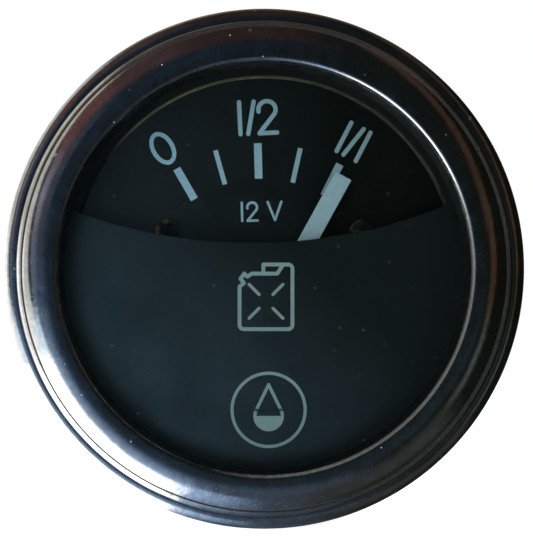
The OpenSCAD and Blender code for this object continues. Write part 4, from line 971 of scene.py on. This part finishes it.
# A solid, its piece's name, finish and body, the bevel, and its segments if not two
soften("mask", "mask_plate", mask_finish, "gauge", 0.08)
soften("pointer", "pointer_blade", pointer_finish, "needle", 0.05)
soften("dial_screws", "blackened_dial_screws", screw_black, "gauge", 0.1)
soften("clamp_bridge", "clamp_strip", zinc_strip, "clamp", 0.2, 3)
for side in ("left", "right"):
    soften(side + "_clamp_nut", side + "_knurled_nut", brass, side + "_nut", 0.15)
soften("spring_washers", "split_washers", black_steel, "clamp", 0.1)
for lead in ("supply", "sender", "earth"):
    soften(lead + "_blade", lead + "_tab", tinned_brass, "gauge", 0.1)
soften("terminal_bushes", "insulating_bushes", phenolic, "gauge", 0.2, 3)
soften("terminal_rivets", "terminal_rivet_heads", brass, "gauge", 0.55, 5)
soften("earth_rivet", "earth_rivet_head", brass, "gauge", 0.55, 5)
soften("lamp_holder_shell", "lamp_socket", nickel, "lamp_holder", 0.12)
soften("lamp_holder_insulator", "lamp_insulator", phenolic, "lamp_holder", 0.1)
soften("lamp_contact", "lamp_tab", tinned_brass, "lamp_holder", 0.1)
soften("bulb_base", "bulb_cap", brass, "bulb", 0.12)
soften("case", "drawn_case", zinc_case, "gauge", 0.15)
soften("stud_locknuts", "hex_locknuts", zinc_stud, "gauge", 0.25)
soften("dial_ring", "stepped_dial_ring", dial_ring_finish, "gauge", 0.04)

# %% [markdown]
# ## Threads and the filament
# A thread is a section that climbs as it turns. Spin does both at once when it is given a step
# along the axis: the section spans one pitch, so each turn's end meets the next turn's start.
# The coil of thread is then cut flat at both ends and capped. The bulb's filament is made in the
# same way, from a small ring that climbs about the filament's own axis.

# %% Threads
STUD_X = 18.0
STUD_R = 2.0
PITCH = 0.7
THREAD_DEPTH = 0.4
CREST_IN = 0.05
# Where the thread's crest begins and ends, as shares of the pitch
CREST_FROM, CREST_TO = 0.42, 0.58
TURN_STEPS = 28


def add_mesh(bm, other):
    """Adds a finished bmesh to another one."""
    mesh = bpy.data.meshes.new("part")
    other.to_mesh(mesh)
    other.free()
    bm.from_mesh(mesh)
    bpy.data.meshes.remove(mesh)


def thread(from_y, to_y):
    """A length of thread about the Y axis, cut flat at both ends."""
    rod = bmesh.new()
    foot = from_y - PITCH
    at = rod.verts.new(((STUD_R - THREAD_DEPTH) * MM, foot * MM, 0))
    lines_to(rod, at, (STUD_R - CREST_IN, foot + CREST_FROM * PITCH),
             (STUD_R - CREST_IN, foot + CREST_TO * PITCH), (STUD_R - THREAD_DEPTH, foot + PITCH))
    turns = math.ceil((to_y - from_y) / PITCH) + 1
    bmesh.ops.spin(rod, geom=rod.verts[:] + rod.edges[:], cent=(0, 0, 0), axis=(0, 1, 0),
                   dvec=(0, PITCH / TURN_STEPS * MM, 0), angle=turns * 2 * math.pi,
                   steps=turns * TURN_STEPS)
    bmesh.ops.remove_doubles(rod, verts=rod.verts, dist=LOOSE_WELD)
    for y, side in ((from_y, -1), (to_y, 1)):
        bmesh.ops.bisect_plane(rod, geom=rod.verts[:] + rod.edges[:] + rod.faces[:],
                               plane_co=(0, y * MM, 0), plane_no=(0, side, 0), clear_outer=True)
    bmesh.ops.holes_fill(rod, edges=[e for e in rod.edges if e.is_boundary], sides=0)
    return rod


def turned_rod(r, from_y, to_y, steps, bevel):
    """A round, or a hexagon when it has six steps, about the Y axis, with softened edges."""
    rod = bmesh.new()
    lines_to(rod, rod.verts.new((0, from_y * MM, 0)), (r, from_y), (r, to_y), (0, to_y))
    spin_section(rod, steps)
    bmesh.ops.remove_doubles(rod, verts=rod.verts, dist=WELD)
    bevel_sharp(rod, bevel)
    return rod


# %% Clamp studs
HEX_SIDES = 6
NECK_STEPS = 48
STUD_TO_Y = 50.5
CASE_BACK_Y = 34.0
CASE_FLOOR_Y = 33.2
HEAD_R = 4.0
HEAD_T = 2.0
HEAD_BEVEL = 0.25
# The plain neck through the case's back starts a little way inside the head
NECK_IN = 0.1
NECK_BEVEL = 0.02

bm = bmesh.new()
for side in (-1, 1):
    stud = bmesh.new()
    add_mesh(stud, turned_rod(HEAD_R, CASE_FLOOR_Y - HEAD_T, CASE_FLOOR_Y, HEX_SIDES, HEAD_BEVEL))
    add_mesh(stud, turned_rod(STUD_R, CASE_FLOOR_Y - NECK_IN, CASE_BACK_Y, NECK_STEPS, NECK_BEVEL))
    add_mesh(stud, thread(CASE_BACK_Y, STUD_TO_Y))
    bmesh.ops.translate(stud, verts=stud.verts, vec=(side * STUD_X * MM, 0, 0))
    add_mesh(bm, stud)
finish_piece(bm, "threaded_studs", zinc_stud, "gauge", ["clamp_studs"])

# %% Filament
LAMP_Z = -16.3
FILAMENT_Y = 14.53
FILAMENT_FOOT_Y = 19.58
POST_X = 1.5
POST_R = 0.2
POST_BEVEL = 0.03
POST_STEPS = 16
COIL_R = 0.2
COIL_WIRE_R = 0.045
COIL_WIRE_SIDES = 8
COIL_HALF = 1.5
COIL_TURNS = 15
COIL_STEPS = 12

bm = bmesh.new()
for side in (-1, 1):
    post = turned_rod(POST_R, FILAMENT_Y, FILAMENT_FOOT_Y, POST_STEPS, POST_BEVEL)
    bmesh.ops.translate(post, verts=post.verts, vec=(side * POST_X * MM, 0, LAMP_Z * MM))
    add_mesh(bm, post)
wire = bmesh.new()
bmesh.ops.create_circle(wire, segments=COIL_WIRE_SIDES, radius=COIL_WIRE_R * MM)
bmesh.ops.rotate(wire, verts=wire.verts, cent=(0, 0, 0),
                 matrix=Matrix.Rotation(math.pi / 2, 3, "X"))
bmesh.ops.translate(wire, verts=wire.verts, vec=(-COIL_HALF * MM, 0, COIL_R * MM))
bmesh.ops.spin(wire, geom=wire.verts[:] + wire.edges[:], cent=(0, 0, 0), axis=(1, 0, 0),
               dvec=(2 * COIL_HALF / COIL_TURNS / COIL_STEPS * MM, 0, 0),
               angle=COIL_TURNS * 2 * math.pi, steps=COIL_TURNS * COIL_STEPS)
bmesh.ops.holes_fill(wire, edges=[e for e in wire.edges if e.is_boundary], sides=0)
bmesh.ops.translate(wire, verts=wire.verts, vec=(0, FILAMENT_Y * MM, LAMP_Z * MM))
add_mesh(bm, wire)
finish_piece(bm, "coiled_filament", tungsten, "bulb", ["bulb_filament"])

# %% [markdown]
# ## The rest keep their solids
# What is left is right as it came: prints, plates, and the movement inside the case. Each gets
# its real finish, so that an opened gauge looks as good as a closed one.

# %% Finishes for the solids that stay
STAYS = [
    (brass, ["dial_posts", "pointer_hub", "counterweight", "stop_arm", "front_bearing_plate",
             "rear_bearing_plate", "card_rivets"]),
    (ground_steel, ["spindle", "stop_pins", "pillars", "pillar_screws"]),
    (blued_iron, ["armature", "empty_coil_core", "full_coil_core", "yoke_plates"]),
    (bronze, ["front_bush", "rear_bush"]),
    (copper, ["empty_coil_winding", "full_coil_winding"]),
    (bobbin_plastic, ["empty_coil_bobbin", "full_coil_bobbin"]),
    (lead_sleeve, ["supply_lead", "sender_lead"]),
    (seal_rubber, ["glass_seal"]),
    (sign_ink, ["mask_print"]),
    (dial_paint, ["dial_plate"]),
    (scale_ink, ["dial_print"]),
    (board, ["resistor_card"]),
    (resistance, ["resistor_winding"]),
    (phenolic, ["terminal_washers"]),
    (bulb_glass, ["bulb_glass"]),
]
for finish, names in STAYS:
    for name in names:
        for place in nodes[name].material_slots:
            place.material = finish
print(sum(len(names) for finish, names in STAYS), "solids keep their shape")
